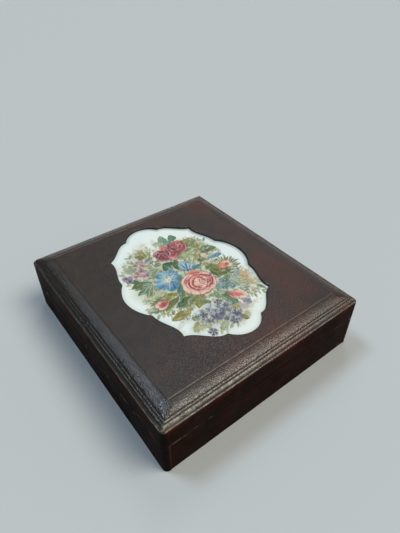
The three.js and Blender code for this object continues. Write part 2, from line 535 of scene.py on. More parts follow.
def lid_stations():
    """Up the lid's side and over its rim, band, tooled lines and bevel to the flat top."""
    bottom = BASE_HEIGHT + MEETING_GAP
    stations = rounded_edge(SOFT_EDGE, bottom, -1)[::-1]
    stations += upright(0, bottom + SOFT_EDGE, RIM_HEIGHT - RIM_ROUND)
    stations += rounded_edge(RIM_ROUND, RIM_HEIGHT, 1)
    stations += spread(RIM_ROUND, edge_of(OUTER_LINE, -1), ACROSS_BAND)
    stations += line_stations(OUTER_LINE)
    stations += spread(edge_of(OUTER_LINE, 1), edge_of(INNER_LINE, -1), BETWEEN_LINES)
    stations += line_stations(INNER_LINE)
    stations += spread(edge_of(INNER_LINE, 1), edge_of(TOP_LINE, -1), ACROSS_BEVEL)
    stations += line_stations(TOP_LINE)
    return stations + [((edge_of(TOP_LINE, 1) + FLAT_START) / 2, TOP_HEIGHT), (FLAT_START, TOP_HEIGHT)]


def window_rows(outline):
    """From the flat top over the window's turned-in leather edge down to the recess."""
    rows = []
    for distance, drop in WINDOW_EDGE:
        plan = grown(outline, distance)
        rows.append(np.column_stack([plan, TOP_HEIGHT - drop - top_dip(plan)]))
    for height in (PANEL_FACE + 0.4, PANEL_FACE - 0.3, RECESS_FLOOR):
        rows.append(np.column_stack([outline, np.full(len(outline), height)]))
    return rows


def add_flat_top(skin, ring, hole):
    """The sheet between the last ring and the window's edge."""
    clear = 0.6 * TOP_CELL
    loose = hex_points(HALF_WIDTH, HALF_LENGTH, TOP_CELL)
    loose = loose[(np.abs(loose[:, 0]) < HALF_WIDTH - FLAT_START - clear)
                  & (np.abs(loose[:, 1]) < HALF_LENGTH - FLAT_START - clear)]
    loose = loose[~inside(loose, hole)]
    loose = loose[distance_to(loose, hole) > clear]
    plan, triangles = filled(
        [ring, hole],
        loose,
        lambda middles: inside(middles, ring) & ~inside(middles, hole),
    )
    skin.add_sheet(plan, triangles, TOP_HEIGHT - top_dip(plan))


def make_lid(outline):
    """Hollow lid with its rim, band, tooled lines, flat top and window."""
    inner = [(LID_WALL, TOP_HEIGHT - TOP_THICKNESS), (LID_WALL, BASE_HEIGHT + MEETING_GAP)]
    rows = ring_wall(inner, no_sway) + ring_wall(lid_stations(), outside_sway, bevel_radius)
    rows[-1][:, 2] -= top_dip(rows[-1][:, :2])
    skin = Skin()
    skin.add_rows(rows)
    plain_cap(skin, rows[0], upward=False)
    edge_rows = window_rows(outline)
    skin.add_rows(edge_rows)
    add_flat_top(skin, rows[-1][:, :2], edge_rows[0][:, :2])
    plan, triangles = filled([outline], [], lambda middles: inside(middles, outline))
    skin.add_sheet(plan, triangles, np.full(len(plan), RECESS_FLOOR))
    return skin.build("leather_lid")


def card_grid(rim):
    """A fine level grid inside the card's rim: its points, squares, and which squares are filled."""
    xs = np.arange(-HALF_WIDTH, HALF_WIDTH, PANEL_CELL)
    ys = np.arange(-HALF_LENGTH, HALF_LENGTH, PANEL_CELL)
    grid_x, grid_y = np.meshgrid(xs, ys, indexing="ij")
    grid = np.column_stack([grid_x.ravel(), grid_y.ravel()])
    within = inside(grid, grown(rim, -0.35 * PANEL_CELL)).reshape(grid_x.shape)
    cells = within[:-1, :-1] & within[1:, :-1] & within[1:, 1:] & within[:-1, 1:]
    rows, columns = np.nonzero(cells)
    width = len(ys)
    corner = rows * width + columns
    quads = np.column_stack([corner, corner + width, corner + width + 1, corner + 1])
    used, quads = np.unique(quads, return_inverse=True)
    return grid[used], quads.reshape(-1, 4), cells


def card_strip(points, quads, cells, rim):
    """Triangles between the grid's ragged border and the card's rim."""
    steps = {(int(a), int(b)) for quad in quads for a, b in zip(quad, np.roll(quad, -1))}
    border = [(a, b) for a, b in steps if (b, a) not in steps]
    border_points = sorted({a for a, b in border} | {b for a, b in border})
    place = {point: i for i, point in enumerate(border_points)}
    edges = [(place[a], place[b]) for a, b in border] + loop_edges(len(border_points), len(rim))

    def keep(middles):
        column = np.floor((middles[:, 0] + HALF_WIDTH) / PANEL_CELL).astype(int)
        row = np.floor((middles[:, 1] + HALF_LENGTH) / PANEL_CELL).astype(int)
        return inside(middles, rim) & ~cells[column, row]

    return triangulated([*points[border_points], *rim], edges, keep)


def make_panel(outline):
    """The painted card: a fine face inside the window's outline, with its edge and back."""
    rim = grown(outline, -PANEL_GAP)
    points, quads, cells = card_grid(rim)
    skin = Skin()
    skin.add_sheet(points, quads, PANEL_FACE - panel_dip(points))
    plan, triangles = card_strip(points, quads, cells, rim)
    skin.add_sheet(plan, triangles, PANEL_FACE - panel_dip(plan))
    back = PANEL_FACE - PANEL_THICKNESS
    rim_top = np.column_stack([rim, PANEL_FACE - panel_dip(rim)])
    rim_back = np.column_stack([rim, np.full(len(rim), back)])
    skin.add_rows([rim_back, rim_top])
    plan, triangles = filled([rim], [], lambda middles: inside(middles, rim))
    skin.add_sheet(plan, triangles, np.full(len(plan), back), upward=False)
    return skin.build("painted_face")


def panel_dip(plan):
    """The card is not quite flat."""
    return uneven(CARD_WAVE, plan[:, 0], plan[:, 1], 31)


# Materials

def linear(screen):
    """Colour values as they look on screen, 0 to 1, as the shader's linear values."""
    return np.where(screen <= 0.04045, screen / 12.92, ((screen + 0.055) / 1.055) ** 2.4)


def rgb(*levels):
    """A colour given as it looks on screen, 0 to 255, for a shader."""
    return (*linear(np.array(levels) / 255).tolist(), 1.0)


# Lowest, highest, red and worn tone of the leather on the top of the lid, and on the sides, whose tones are
# darker as painted shade on the same leather; the worn tone also serves for painted highlights
TOP_TONES = (rgb(37, 27, 20), rgb(54, 39, 29), rgb(78, 34, 19), rgb(150, 144, 124))
SHADED_SIDE_TONES = (rgb(21, 13, 9), rgb(34, 18, 12), rgb(78, 27, 16), rgb(132, 114, 94))
GRAIN_SHADOW = rgb(16, 11, 10)
BURNISH_AND_SHADE_TONE = rgb(10, 8, 7)

# Smoothest and roughest gloss, shine, and depth of the grain, of the same two leathers
TOP_FINISH = (0.31, 0.35, 0.7, 0.115)
SIDE_FINISH = (0.5, 0.62, 0.02, 0.08)
POLISH = 0.06  # how much smoother the handled leather is

# Sizes of what shows in the leather
GRAIN_SIZE = 0.92
PORE_SIZE = 0.42
CREASE_SIZE = 3.4
BLOTCH_SIZE = 17
HANDLED_SIZE = 26
PATCH_SIZE = 42
TOOTH_SIZE = 0.35  # of the card's surface

# Strength and depth of the relief, and the card's gloss from smooth to rough, and its shine
CREASE_RELIEF = (0.3, 0.02)
PORE_RELIEF = (0.5, 0.05)
TOOTH_RELIEF = (0.3, 0.03)
CARD_GLOSS = (0.5, 0.62)
CARD_SHINE = 0.3


def new_surface(name):
    """A material with a graph, and the shader that it ends in."""
    made = bpy.data.materials.new(name)
    made.use_nodes = True
    made.node_tree.nodes.clear()
    graph = Graph(made.node_tree)
    shader = graph.node("ShaderNodeBsdfPrincipled")
    out = graph.node("ShaderNodeOutputMaterial")
    graph.join(shader.outputs[0], out.inputs["Surface"])
    return made, graph, shader


class Graph:
    """Short calls for making and joining shader nodes."""

    def __init__(self, tree):
        self.tree = tree

    def node(self, kind, **settings):
        made = self.tree.nodes.new(kind)
        for key, value in settings.items():
            setattr(made, key, value)
        return made

    def join(self, source, socket):
        """Joins a node's output to the socket, or sets the socket to a plain value."""
        if isinstance(source, bpy.types.NodeSocket):
            self.tree.links.new(source, socket)
        else:
            socket.default_value = source

    def math(self, operation, a, b):
        made = self.node("ShaderNodeMath", operation=operation)
        self.join(a, made.inputs[0])
        self.join(b, made.inputs[1])
        return made.outputs[0]

    def ramp(self, value, low, high, to_low=0.0, to_high=1.0):
        made = self.node("ShaderNodeMapRange", interpolation_type="SMOOTHSTEP")
        self.join(value, made.inputs["Value"])
        made.inputs["From Min"].default_value = low
        made.inputs["From Max"].default_value = high
        made.inputs["To Min"].default_value = to_low
        made.inputs["To Max"].default_value = to_high
        return made.outputs[0]

    def mix(self, share, a, b):
        made = self.node("ShaderNodeMix", data_type="RGBA")
        self.join(share, made.inputs[0])
        self.join(a, made.inputs[6])
        self.join(b, made.inputs[7])
        return made.outputs[2]

    def noise(self, place, size, detail=3.0, roughness=0.55, distortion=0.0):
        """Noise whose features are about size millimetres across."""
        made = self.node("ShaderNodeTexNoise")
        self.join(place, made.inputs["Vector"])
        made.inputs["Scale"].default_value = 1 / (size * MM)
        made.inputs["Detail"].default_value = detail
        made.inputs["Roughness"].default_value = roughness
        made.inputs["Distortion"].default_value = distortion
        return made.outputs["Fac"]

    def cells(self, place, size, feature="DISTANCE_TO_EDGE"):
        made = self.node("ShaderNodeTexVoronoi", feature=feature)
        self.join(place, made.inputs["Vector"])
        made.inputs["Scale"].default_value = 1 / (size * MM)
        return made.outputs["Distance"]

    def bump(self, height, strength, distance, normal=None):
        made = self.node("ShaderNodeBump")
        made.inputs["Strength"].default_value = strength
        made.inputs["Distance"].default_value = distance * MM
        self.join(height, made.inputs["Height"])
        if normal is not None:
            self.join(normal, made.inputs["Normal"])
        return made.outputs["Normal"]

    def place(self):
        return self.node("ShaderNodeTexCoord").outputs["Object"]

    def stored(self, name, output="Fac"):
        return self.node("ShaderNodeAttribute", attribute_name=name).outputs[output]


def leather_material(name, tones, finish):
    """Dark grained hide, with the stored marks of wear on it."""
    low, high, red_brown, worn = tones
    smooth, rough, shine, grain_depth = finish
    made, graph, shader = new_surface(name)
    place = graph.place()
    grain = graph.cells(place, GRAIN_SIZE)
    pebble = graph.ramp(graph.cells(place, GRAIN_SIZE, "F1"), 0.0, 0.8, 1.0, 0.0)
    fine = graph.noise(place, PORE_SIZE, 1.0)
    crease = graph.noise(place, CREASE_SIZE, 4.0, 0.6, 0.6)
    handled = graph.noise(place, HANDLED_SIZE, 2.0)
    blotch = graph.noise(place, BLOTCH_SIZE, 5.0, 0.62, 0.8)
    patch = graph.noise(place, PATCH_SIZE, 3.0, 0.55)

    reddened = graph.math("MULTIPLY", graph.stored("ruddy"), graph.ramp(patch, 0.3, 0.62))
    reddened = graph.math("MULTIPLY", reddened, graph.ramp(blotch, 0.25, 0.6, 0.45, 1.0))
    wear_and_highlight_share = graph.math("MULTIPLY", graph.stored("wear_and_highlight"), graph.ramp(crease, 0.34, 0.52, 0.25, 1.0))
    base = graph.mix(graph.ramp(blotch, 0.34, 0.66), low, high)
    base = graph.mix(reddened, base, red_brown)
    base = graph.mix(graph.ramp(grain, 0.0, 0.14, 0.5, 0.0), base, GRAIN_SHADOW)
    base = graph.mix(wear_and_highlight_share, base, worn)
    base = graph.mix(graph.stored("dark"), base, BURNISH_AND_SHADE_TONE)
    graph.join(base, shader.inputs["Base Color"])

    polished = graph.math("MULTIPLY", graph.stored("polish"), POLISH)
    scuffed = graph.math("SUBTRACT", graph.ramp(handled, 0.3, 0.7, smooth, rough), polished)
    graph.join(scuffed, shader.inputs["Roughness"])
    shader.inputs["Specular IOR Level"].default_value = shine
    relief = graph.bump(crease, *CREASE_RELIEF)
    relief = graph.bump(pebble, 1.0, grain_depth, relief)
    relief = graph.bump(fine, *PORE_RELIEF, relief)
    graph.join(relief, shader.inputs["Normal"])
    return made


def painted_material():
    made, graph, shader = new_surface("painted_card")
    tooth = graph.noise(graph.place(), TOOTH_SIZE, 2.0)
    graph.join(graph.stored("paint", "Color"), shader.inputs["Base Color"])
    graph.join(graph.ramp(tooth, 0.3, 0.7, *CARD_GLOSS), shader.inputs["Roughness"])
    shader.inputs["Specular IOR Level"].default_value = CARD_SHINE
    graph.join(graph.bump(tooth, *TOOTH_RELIEF), shader.inputs["Normal"])
    return made


def give_top_leather(lid):
    """Faces above the rim take the lid's second material."""
    for face in lid.data.polygons:
        face.material_index = int(face.center.z > (RIM_HEIGHT - 0.5) * MM)


def plan_inset(places):
    """Distance in from the nearest side."""
    return np.minimum(HALF_WIDTH - np.abs(places[:, 0]), HALF_LENGTH - np.abs(places[:, 1]))


def band(value, middle, width):
    """1 at the middle, fading to 0 over about a width on both sides."""
    return np.exp(-(((value - middle) / width) ** 2))


# Small worn spots on the left and front sides: distance from the front left corner, height,
# reach along the side, reach up, strength
LEFT_SPOTS = (
    (41.6, 31.6, 1.3, 0.9, 0.9), (53.6, 32.6, 1.6, 0.8, 0.7), (57.5, 31, 1.2, 0.9, 0.8),
    (61, 32.2, 1.4, 0.8, 0.7), (84, 31.8, 1.5, 0.9, 0.9), (88.6, 32.8, 1.3, 0.8, 0.6),
    (125, 31.4, 1.6, 1.1, 0.9), (213, 30.6, 1.6, 1.3, 0.8), (34, 36.8, 2.6, 1, 0.6),
    (17, 35.6, 5, 0.7, 0.7),
)
FRONT_SPOTS = (
    (212, 34.5, 1.3, 1.4, 0.7), (203.6, 3.7, 1.2, 1, 0.6), (31, 47.5, 3, 0.4, 0.3),
    (15, 35.4, 7, 0.5, 0.6), (30, 35.6, 3, 0.5, 0.5), (44, 35.2, 2.2, 0.5, 0.4),
    (196, 35.4, 6, 0.5, 0.5), (72, 35.4, 3, 0.4, 0.35),
)
# The same on top: place, reach, strength. Those at the front left corner, at (-104.6, -116.4), (-97, -117.4)
# and (-106.8, -111), are painted glints, not wear.
TOP_SPOTS_AND_GLINTS = (
    (-44.4, -116.7, 2.6, 1.1, 1), (-78, -117, 3.2, 0.9, 0.55), (-60, -116.8, 2.2, 0.8, 0.4),
    (-2.5, -105, 0.5, 4.2, 0.35), (-70.5, -97, 0.7, 1.4, 0.3), (-104.6, -116.4, 2.2, 1.1, 0.9),
    (-97, -117.4, 2.4, 0.6, 0.6), (-106.8, -111, 0.7, 2.6, 0.5), (-88, -116.4, 1.4, 0.8, 0.5),
    (-52, -117.2, 1.6, 0.6, 0.5), (-30, -116.6, 1.8, 0.7, 0.35), (44, -116.8, 2, 0.6, 0.3),
)
SPOT_FACE = 1.5  # how near to a face a point counts as on it

# How pale the leather is made in each place, 1 being the worn tone: real wear, with painted highlight on the
# single line and the front band and partly on the rim and ridge
RIM_WEAR_AND_HIGHLIGHT = 0.55
RIDGE_WEAR_AND_HIGHLIGHT = 0.3
TOP_LINE_HIGHLIGHT = 0.4
SEAM_WEAR = 0.55
CORNER_WEAR = 0.6
FRONT_BAND_SHEEN = 0.6
LAP_WEAR = 0.35
# The rim's and the ridge's paleness is wear and partly painted highlight, so the less lit left side gets only
# a share of it.
LEFT_SHARE = 0.5  # how much of the rim's and the ridge's wear the left side has

# Where it is worn, each a middle and a reach
RIM_BAND = (RIM_HEIGHT - 0.1, 0.6)
RIM_INSET_BAND = (0.3, 0.7)
RIDGE_BAND = ((OUTER_LINE["inset"] + INNER_LINE["inset"]) / 2, 0.45)
TOP_LINE_BAND = (TOP_LINE["inset"] + 0.75, 0.45)
UNDER_SEAM_BAND = (BASE_HEIGHT - 0.2, 0.5)
OVER_SEAM_BAND = (BASE_HEIGHT + MEETING_GAP + 0.4, 0.4)
CORNER_BAND = (RIM_HEIGHT + 0.8, 2.0)
FRONT_BAND_SHEEN_PLACE = (45, 55)  # from the front left corner
LAP_BAND = (LAP_FROM_CORNER, 0.5)

# How far wear fades away from the front corners
CORNER_FADE = 9
SEAM_FADE_LEFT = 26
SEAM_FADE_RIGHT = 22
TOP_LINE_FADE = 100

# How dark each place is made, 1 being the dark tone: burnished in the lines and round the window, painted
# shade elsewhere
WINDOW_BURNISH = 0.85
UPRIGHT_EDGE_SHADE = 0.55
FOOT_SHADE = 0.5
GAP_SHADE = 0.8
LEFT_SLOPE_SHADE = 0.8
GROOVE_BURNISH = ((OUTER_LINE, 0.9), (INNER_LINE, 0.7), (TOP_LINE, 0.5))

# Where it is burnished or shaded: distances over which it starts or fades, and bands as above
WINDOW_REACH = (0.3, 1.4)
UPRIGHT_BAND = (1.4, 3.2)
FOOT_FADE = 3
GAP_BAND = (BASE_HEIGHT + MEETING_GAP / 2, 0.45)
LOW_SLOPE = (5, 8)
WHOLE_SLOPE = (7, 18.5)
OFF_FRONT = (10, 130)

# Redder and polished places
TO_RIGHT = (-50, 65)
SIDE_RED_BAND = (RIM_HEIGHT - 1, 4.5)
PLAIN_RED = 0.15
BEVEL_POLISH_REACH = (7, 19)
RIM_POLISH_BAND = (RIM_HEIGHT + 0.3, 1.5)
SAME_INSET = 0.01  # slack in telling which side a point is nearest to


def spots_at(across, up, ragged, chosen, spots, soft, firm):
    """Wear of the strongest spot at each chosen point."""
    worn = np.zeros(len(across))
    for place, height, reach, reach_up, strength in spots:
        away = np.hypot((across - place) / reach, (up - height) / reach_up) * ragged
        worn = np.maximum(worn, strength * chosen * smoothstep(soft, firm, away))
    return worn


def worn_spots_and_glints(x, y, z):
    """How strongly each point is paled by the small spots: worn spots, and painted glints at the top's front
    left corner.
    """
    ragged = 1 + 0.35 * soft_noise(x + y, z + y, 1.3, 44)
    left = x < -HALF_WIDTH + SPOT_FACE
    front = y < -HALF_LENGTH + SPOT_FACE
    return np.maximum.reduce([
        spots_at(y + HALF_LENGTH, z, ragged, left, LEFT_SPOTS, 1.7, 0.7),
        spots_at(x + HALF_WIDTH, z, ragged, front, FRONT_SPOTS, 1.7, 0.7),
        spots_at(x, y, ragged, z > RIM_HEIGHT, TOP_SPOTS_AND_GLINTS, 1.3, 0.5),
    ])


class LeatherPoints:
    """Where each point of a leather piece lies, for the marks of wear."""

    def __init__(self, piece):
        self.places = places_of(piece)
        self.x, self.y, self.z = self.places.T
        x, y, z = self.x, self.y, self.z
        self.inset = plan_inset(self.places)
        self.above_rim = z > RIM_HEIGHT + 1
        self.on_front = HALF_LENGTH + y < self.inset + SAME_INSET
        self.on_left = HALF_WIDTH + x < self.inset + SAME_INSET
        self.from_front_left = np.hypot(x + HALF_WIDTH, y + HALF_LENGTH)
        self.from_front_right = np.hypot(x - HALF_WIDTH, y + HALF_LENGTH)
        self.patchy = 0.5 + 0.5 * soft_noise(x + 2 * z, y - 2 * z, 7, 41)
        self.patchier = 0.5 + 0.5 * soft_noise(x + z, y - z, 3, 42)
        near_left = np.exp(-self.from_front_left / SEAM_FADE_LEFT)
        near_right = 0.7 * np.exp(-self.from_front_right / SEAM_FADE_RIGHT)
        self.seam_wear = (near_left + near_right) * self.patchy


def pale_wear_and_highlights(at):
    """Paler along the rim, the ridge between the lines, the single line, the seam, the corners and the laps:
    wear, with painted highlights among it.
    """
    z, inset, patchier = at.z, at.inset, at.patchier
    left_share = np.where(at.on_left, LEFT_SHARE, 1.0)
    # Rim and ridge: wear, partly painted highlight.
    rim = band(z, *RIM_BAND) * band(inset, *RIM_INSET_BAND) * at.patchy * left_share
    ridge = band(inset, *RIDGE_BAND) * at.above_rim * (0.4 + 0.6 * patchier) * left_share
    # Painted highlight: the single line is paler on the front only, most near the front left corner.
    lip = band(inset, *TOP_LINE_BAND) * at.above_rim * at.on_front
    lip = lip * (0.5 + 0.5 * patchier) * (0.4 + 0.6 * np.exp(-at.from_front_left / TOP_LINE_FADE))
    seam = band(z, *UNDER_SEAM_BAND) + band(z, *OVER_SEAM_BAND)
    corner = np.exp(-np.minimum(at.from_front_left, at.from_front_right) / CORNER_FADE)
    corner = corner * band(z, *CORNER_BAND) * patchier
    # Partly patchy wear, partly painted sheen: the band between the rim and the lines is paler along the
    # front only.
    front_sheen = at.on_front * at.above_rim * smoothstep(4.9, 4.2, inset) * (0.25 + 0.75 * patchier)
    front_sheen = front_sheen * (0.2 + 0.8 * band(at.from_front_left, *FRONT_BAND_SHEEN_PLACE))
    lap = band(HALF_WIDTH - np.abs(at.x), *LAP_BAND) * patchier
    lap = lap * (HALF_LENGTH + at.y < 1.2) * (z < BASE_HEIGHT)
    wear_and_highlight = RIM_WEAR_AND_HIGHLIGHT * rim + RIDGE_WEAR_AND_HIGHLIGHT * ridge + TOP_LINE_HIGHLIGHT * lip + SEAM_WEAR * seam * at.seam_wear
    wear_and_highlight = wear_and_highlight + CORNER_WEAR * corner + FRONT_BAND_SHEEN * front_sheen + LAP_WEAR * lap
    return np.maximum(wear_and_highlight, worn_spots_and_glints(at.x, at.y, z))


def burnished_and_shaded(at, outline):
    """Burnished in the lines and round the window; painted shade at the upright edges, the foot, the seam's
    gap and on the left slope.
    """
    x, y, z, inset = at.x, at.y, at.z, at.inset
    groove = np.zeros(len(x))
    for line, depth in GROOVE_BURNISH:
        within = np.clip(1 - np.abs(inset - line["inset"]) / line["half_width"], 0, 1)
        groove = np.maximum(groove, within * at.above_rim * depth * (0.6 + 0.4 * at.patchy))
    near = np.nonzero((z > TOP_HEIGHT - 3) & (inset > 20))[0]
    window = np.zeros(len(x))
    window[near] = 1 - smoothstep(*WINDOW_REACH, distance_to(at.places[near, :2], outline))
    from_edge = np.hypot(HALF_WIDTH - np.abs(x), HALF_LENGTH - np.abs(y))
    # Painted shade down the rounded upright corners.
    upright_edge = band(from_edge, *UPRIGHT_BAND) * (z < RIM_HEIGHT)
    # Painted shade at the foot, darker toward the floor.
    foot = np.exp(-z / FOOT_FADE)
    # Painted shade along the gap between lid and base, less where the seam is worn.
    gap = band(z, *GAP_BAND) * (1 - 0.8 * np.clip(at.seam_wear, 0, 1))
    # Painted shade on the left side's rim band and bevel, the bevel darker away from the front.
    slope = (1 - smoothstep(*LOW_SLOPE, inset)) * 0.6
    slope = slope + (1 - smoothstep(*WHOLE_SLOPE, inset)) * 0.4 * smoothstep(*OFF_FRONT, HALF_LENGTH + y)
    return np.maximum.reduce([
        groove,
        WINDOW_BURNISH * window,
        UPRIGHT_EDGE_SHADE * upright_edge,
        FOOT_SHADE * foot,
        GAP_SHADE * gap,
        LEFT_SLOPE_SHADE * slope * at.above_rim * at.on_left,
    ])


def reddened(at):
    """Redder to the right on top, and along the upper part of the lid's sides."""
    to_right = smoothstep(*TO_RIGHT, 0.9 * at.x - 0.2 * at.y)
    top = np.clip(PLAIN_RED + 0.85 * to_right + 0.35 * soft_noise(at.x, at.y, 36, 43), 0, 1)
    on_lid = at.z > BASE_HEIGHT + 0.1
    side = band(at.z, *SIDE_RED_BAND) * on_lid * np.where(at.on_left, 0.2, 1.0)
    return np.where(at.z < RIM_HEIGHT - 0.5, PLAIN_RED + 0.8 * side, top)


def polished(at):
    """Shinier by handling on the bevels and the rim."""
    bevel = np.where(at.above_rim, 1 - 0.8 * smoothstep(*BEVEL_POLISH_REACH, at.inset), 0.0)
    return bevel + band(at.z, *RIM_POLISH_BAND) * (~at.above_rim)


def mark_leather(piece, outline):
    """Where the leather is paler from wear and painted highlight, darker from burnish and painted shade,
    redder, or polished.
    """
    at = LeatherPoints(piece)
    store(piece, "polish", polished(at))
    store(piece, "wear_and_highlight", pale_wear_and_highlights(at))
    # The dark attribute holds burnish and painted shade.
    store(piece, "dark", burnished_and_shaded(at, outline))
    store(piece, "ruddy", reddened(at))


# The painted flowers. Colours are given as they look on screen, 0 to 255.

IVORY = (234, 243, 240)
SAP = (92, 116, 78)
MOSS = (70, 98, 62)
OLIVE = (138, 134, 78)
SAGE = (146, 164, 134)
TEAL = (74, 120, 108)
SEA = (104, 148, 152)
SLATE = (96, 124, 146)
SKY = (140, 186, 210)
BLUE = (74, 140, 186)
DEEP_BLUE = (40, 98, 156)
MIST = (206, 216, 226)
LILAC = (166, 158, 186)
VIOLET = (72, 74, 108)
INK = (46, 48, 72)
MAUVE = (150, 112, 134)
BLUSH = (240, 206, 194)
ROSE = (224, 146, 142)
CORAL = (208, 104, 100)
CRIMSON = (160, 58, 76)
CREAM = (232, 218, 162)
STRAW = (196, 172, 104)
AGE_DULLING = 0.12
AGE_TINT = (1.0, 0.99, 0.95)
FULL_PAINT = 45  # difference from the ground that counts as fully painted
HAND_WAVER = (0.5, 5.0)  # how far strokes stray, and over what length
HAND_TREMBLE = (0.22, 1.7)
# Painted shade on the card near the window's edge: where it fades in, and how strong it is
EDGE_SHADE_REACH = (5.5, 0.3)  # distance from the window's edge
EDGE_SHADE = (0.06, 0.22)  # all round, and more of it toward the right and the top


class Painting:
    """Brushwork over plan points: each stroke mixes its colour into the points that it covers."""

    def __init__(self, plan, ground):
        x, y = plan.T
        far, length = HAND_WAVER
        near, short = HAND_TREMBLE
        self.x = x + far * soft_noise(x, y, length, 51) + near * soft_noise(x, y, short, 52)
        self.y = y + far * soft_noise(x, y, length, 53) + near * soft_noise(x, y, short, 54)
        self.colour = np.tile(np.array(ground, float), (len(plan), 1))
        self.strokes = 0

    def near(self, centre, reach):
        """Points close enough to a stroke to be touched by it."""
        return np.nonzero((np.abs(self.x - centre[0]) < reach) & (np.abs(self.y - centre[1]) < reach))[0]

    def lay(self, chosen, cover, colour):
        share = np.clip(cover, 0, 1)[:, None]
        self.colour[chosen] += (np.asarray(colour, float) - self.colour[chosen]) * share

    def bristles(self, u, v, coarse=3.2, fine=0.75):
        """Streaks along a stroke, different in every stroke."""
        self.strokes += 1
        return soft_noise(u / coarse, v / fine + 9.7 * self.strokes, 1.0, 55)

    def blade(self, base, tip, width, bend=0.0, round_tip=False):
        """A stroke from base to tip: the points near it, and their place along, across and within it."""
        base = np.array(base, float)
        tip = np.array(tip, float)
        length = float(np.hypot(*(tip - base)))
        ax, ay = (tip - base) / length
        chosen = self.near((base + tip) / 2, length / 2 + width)
        dx = self.x[chosen] - base[0]
        dy = self.y[chosen] - base[1]
        along = (dx * ax + dy * ay) / length
        inner = np.clip(along, 0, 1)
        across = dy * ax - dx * ay - bend * np.sin(math.pi * inner)
        if round_tip:
            half = 0.5 * width * np.sin(math.pi * inner**1.7) ** 0.62
        else:
            half = 0.58 * width * (4 * inner * (1 - inner)) ** 0.85 * (1.15 - 0.35 * inner)
        within = half - np.abs(across)
        cover = smoothstep(-0.1, 0.55, within) * (along > 0) * (along < 1)
        return chosen, inner, across, within, cover, length

    def leaf(self, base, tip, width, dark, light, bend=0.0, cover=1.0, veined=True):
        chosen, along, across, within, mask, length = self.blade(base, tip, width, bend)
        streak = self.bristles(along * length, across)
        lit = smoothstep(-0.35 * width, 0.35 * width, across)
        self.lay(chosen, mask * cover, blend(dark, light, np.clip(0.25 + 0.4 * lit + 0.4 * streak, 0, 1)))
        if veined:
            rib = smoothstep(0.5, 0.1, np.abs(across)) * mask * (along < 0.93)
            self.lay(chosen, 0.5 * rib * cover, np.array(light, float) * 0.6 + 95)
            slant = (along * length - 1.1 * np.abs(across)) % 2.6
            side_rib = smoothstep(0.55, 0.15, np.abs(slant - 1.3)) * mask * (within > 0.3)
            self.lay(chosen, 0.42 * side_rib * cover, np.array(dark, float) * 0.72)
        edge = smoothstep(0.75, 0.2, within) * mask
        self.lay(chosen, 0.35 * edge * cover, np.array(dark, float) * 0.75)

    def petal(self, base, tip, width, deep, pale, bend=0.0, cover=1.0, line=None):
        """Deep at the base, pale at the tip, with a fine darker rim."""
        chosen, along, across, within, mask, length = self.blade(base, tip, width, bend, True)
        streak = self.bristles(along * length, across)
        share = np.clip(smoothstep(0.2, 0.95, along) + 0.28 * streak, 0, 1)
        self.lay(chosen, mask * cover, blend(deep, pale, share))
        edge = smoothstep(0.8, 0.25, within) * mask
        if line is None:
            self.lay(chosen, 0.3 * edge * cover, deep)
        else:
            self.lay(chosen, 0.65 * edge * cover, line)

    def line(self, points, width, colour, cover=1.0):
        """A brush line through points, thin at both ends."""
        points = np.array(points, float)
        middle = (points.min(axis=0) + points.max(axis=0)) / 2
        reach = np.abs(points - middle).max() + width
        chosen = self.near(middle, reach)
        place = np.column_stack([self.x[chosen], self.y[chosen]])
        count = len(points) - 1
        best = np.full(len(chosen), -9.0)
        for i in range(count):
            edge = points[i + 1] - points[i]
            share = np.clip(((place - points[i]) @ edge) / (edge @ edge), 0, 1)
            gap = np.linalg.norm(place - points[i] - share[:, None] * edge, axis=1)
            run = (i + share) / count
            best = np.maximum(best, 0.5 * width * (0.25 + 0.75 * np.sin(math.pi * run)) - gap)
        self.lay(chosen, smoothstep(-0.3, 0.3, best) * cover, colour)

    def arc(self, centre, radius, start, end, width, colour, cover=1.0, flat=1.0):
        """A curved brush line round a centre, angles in degrees."""
        angles = np.radians(np.linspace(start, end, 12))
        x = centre[0] + radius * np.cos(angles)
        y = centre[1] + radius * flat * np.sin(angles)
        self.line(np.column_stack([x, y]), width, colour, cover)

    def aslant(self, centre, radius, flat, tilt):
        """Points near a flattened, tilted disc, and their place on it as if it lay square and round."""
        chosen = self.near(centre, radius)
        u, v = turned(self.x[chosen] - centre[0], self.y[chosen] - centre[1], -math.radians(tilt))
        return chosen, u, v / flat

    def disc(self, centre, radius, colour, cover=1.0, flat=1.0, tilt=0.0, soft=0.25):
        chosen, u, v = self.aslant(centre, radius * 1.4, flat, tilt)
        streak = 1 + 0.16 * self.bristles(u, v)[:, None]
        mask = smoothstep(1 + soft * 0.3, 1 - soft, np.hypot(u, v) / radius)
        self.lay(chosen, mask * cover, np.array(colour, float) * streak)

    def wash(self, centre, radius, colour, cover, flat=1.0):
        """A thin, soft-edged tint."""
        self.disc(centre, radius, colour, cover, flat, soft=0.85)


def blend(first, second, share):
    """One colour going over to another, for an array of shares."""
    share = share[:, None]
    return np.array(first, float) * (1 - share) + np.array(second, float) * share


def halfway(start, end):
    """The point in the middle between two."""
    return ((start[0] + end[0]) / 2, (start[1] + end[1]) / 2)


def around(centre, angle, distance, flat=1.0):
    turn = math.radians(angle)
    return (centre[0] + distance * math.cos(turn), centre[1] + distance * flat * math.sin(turn))


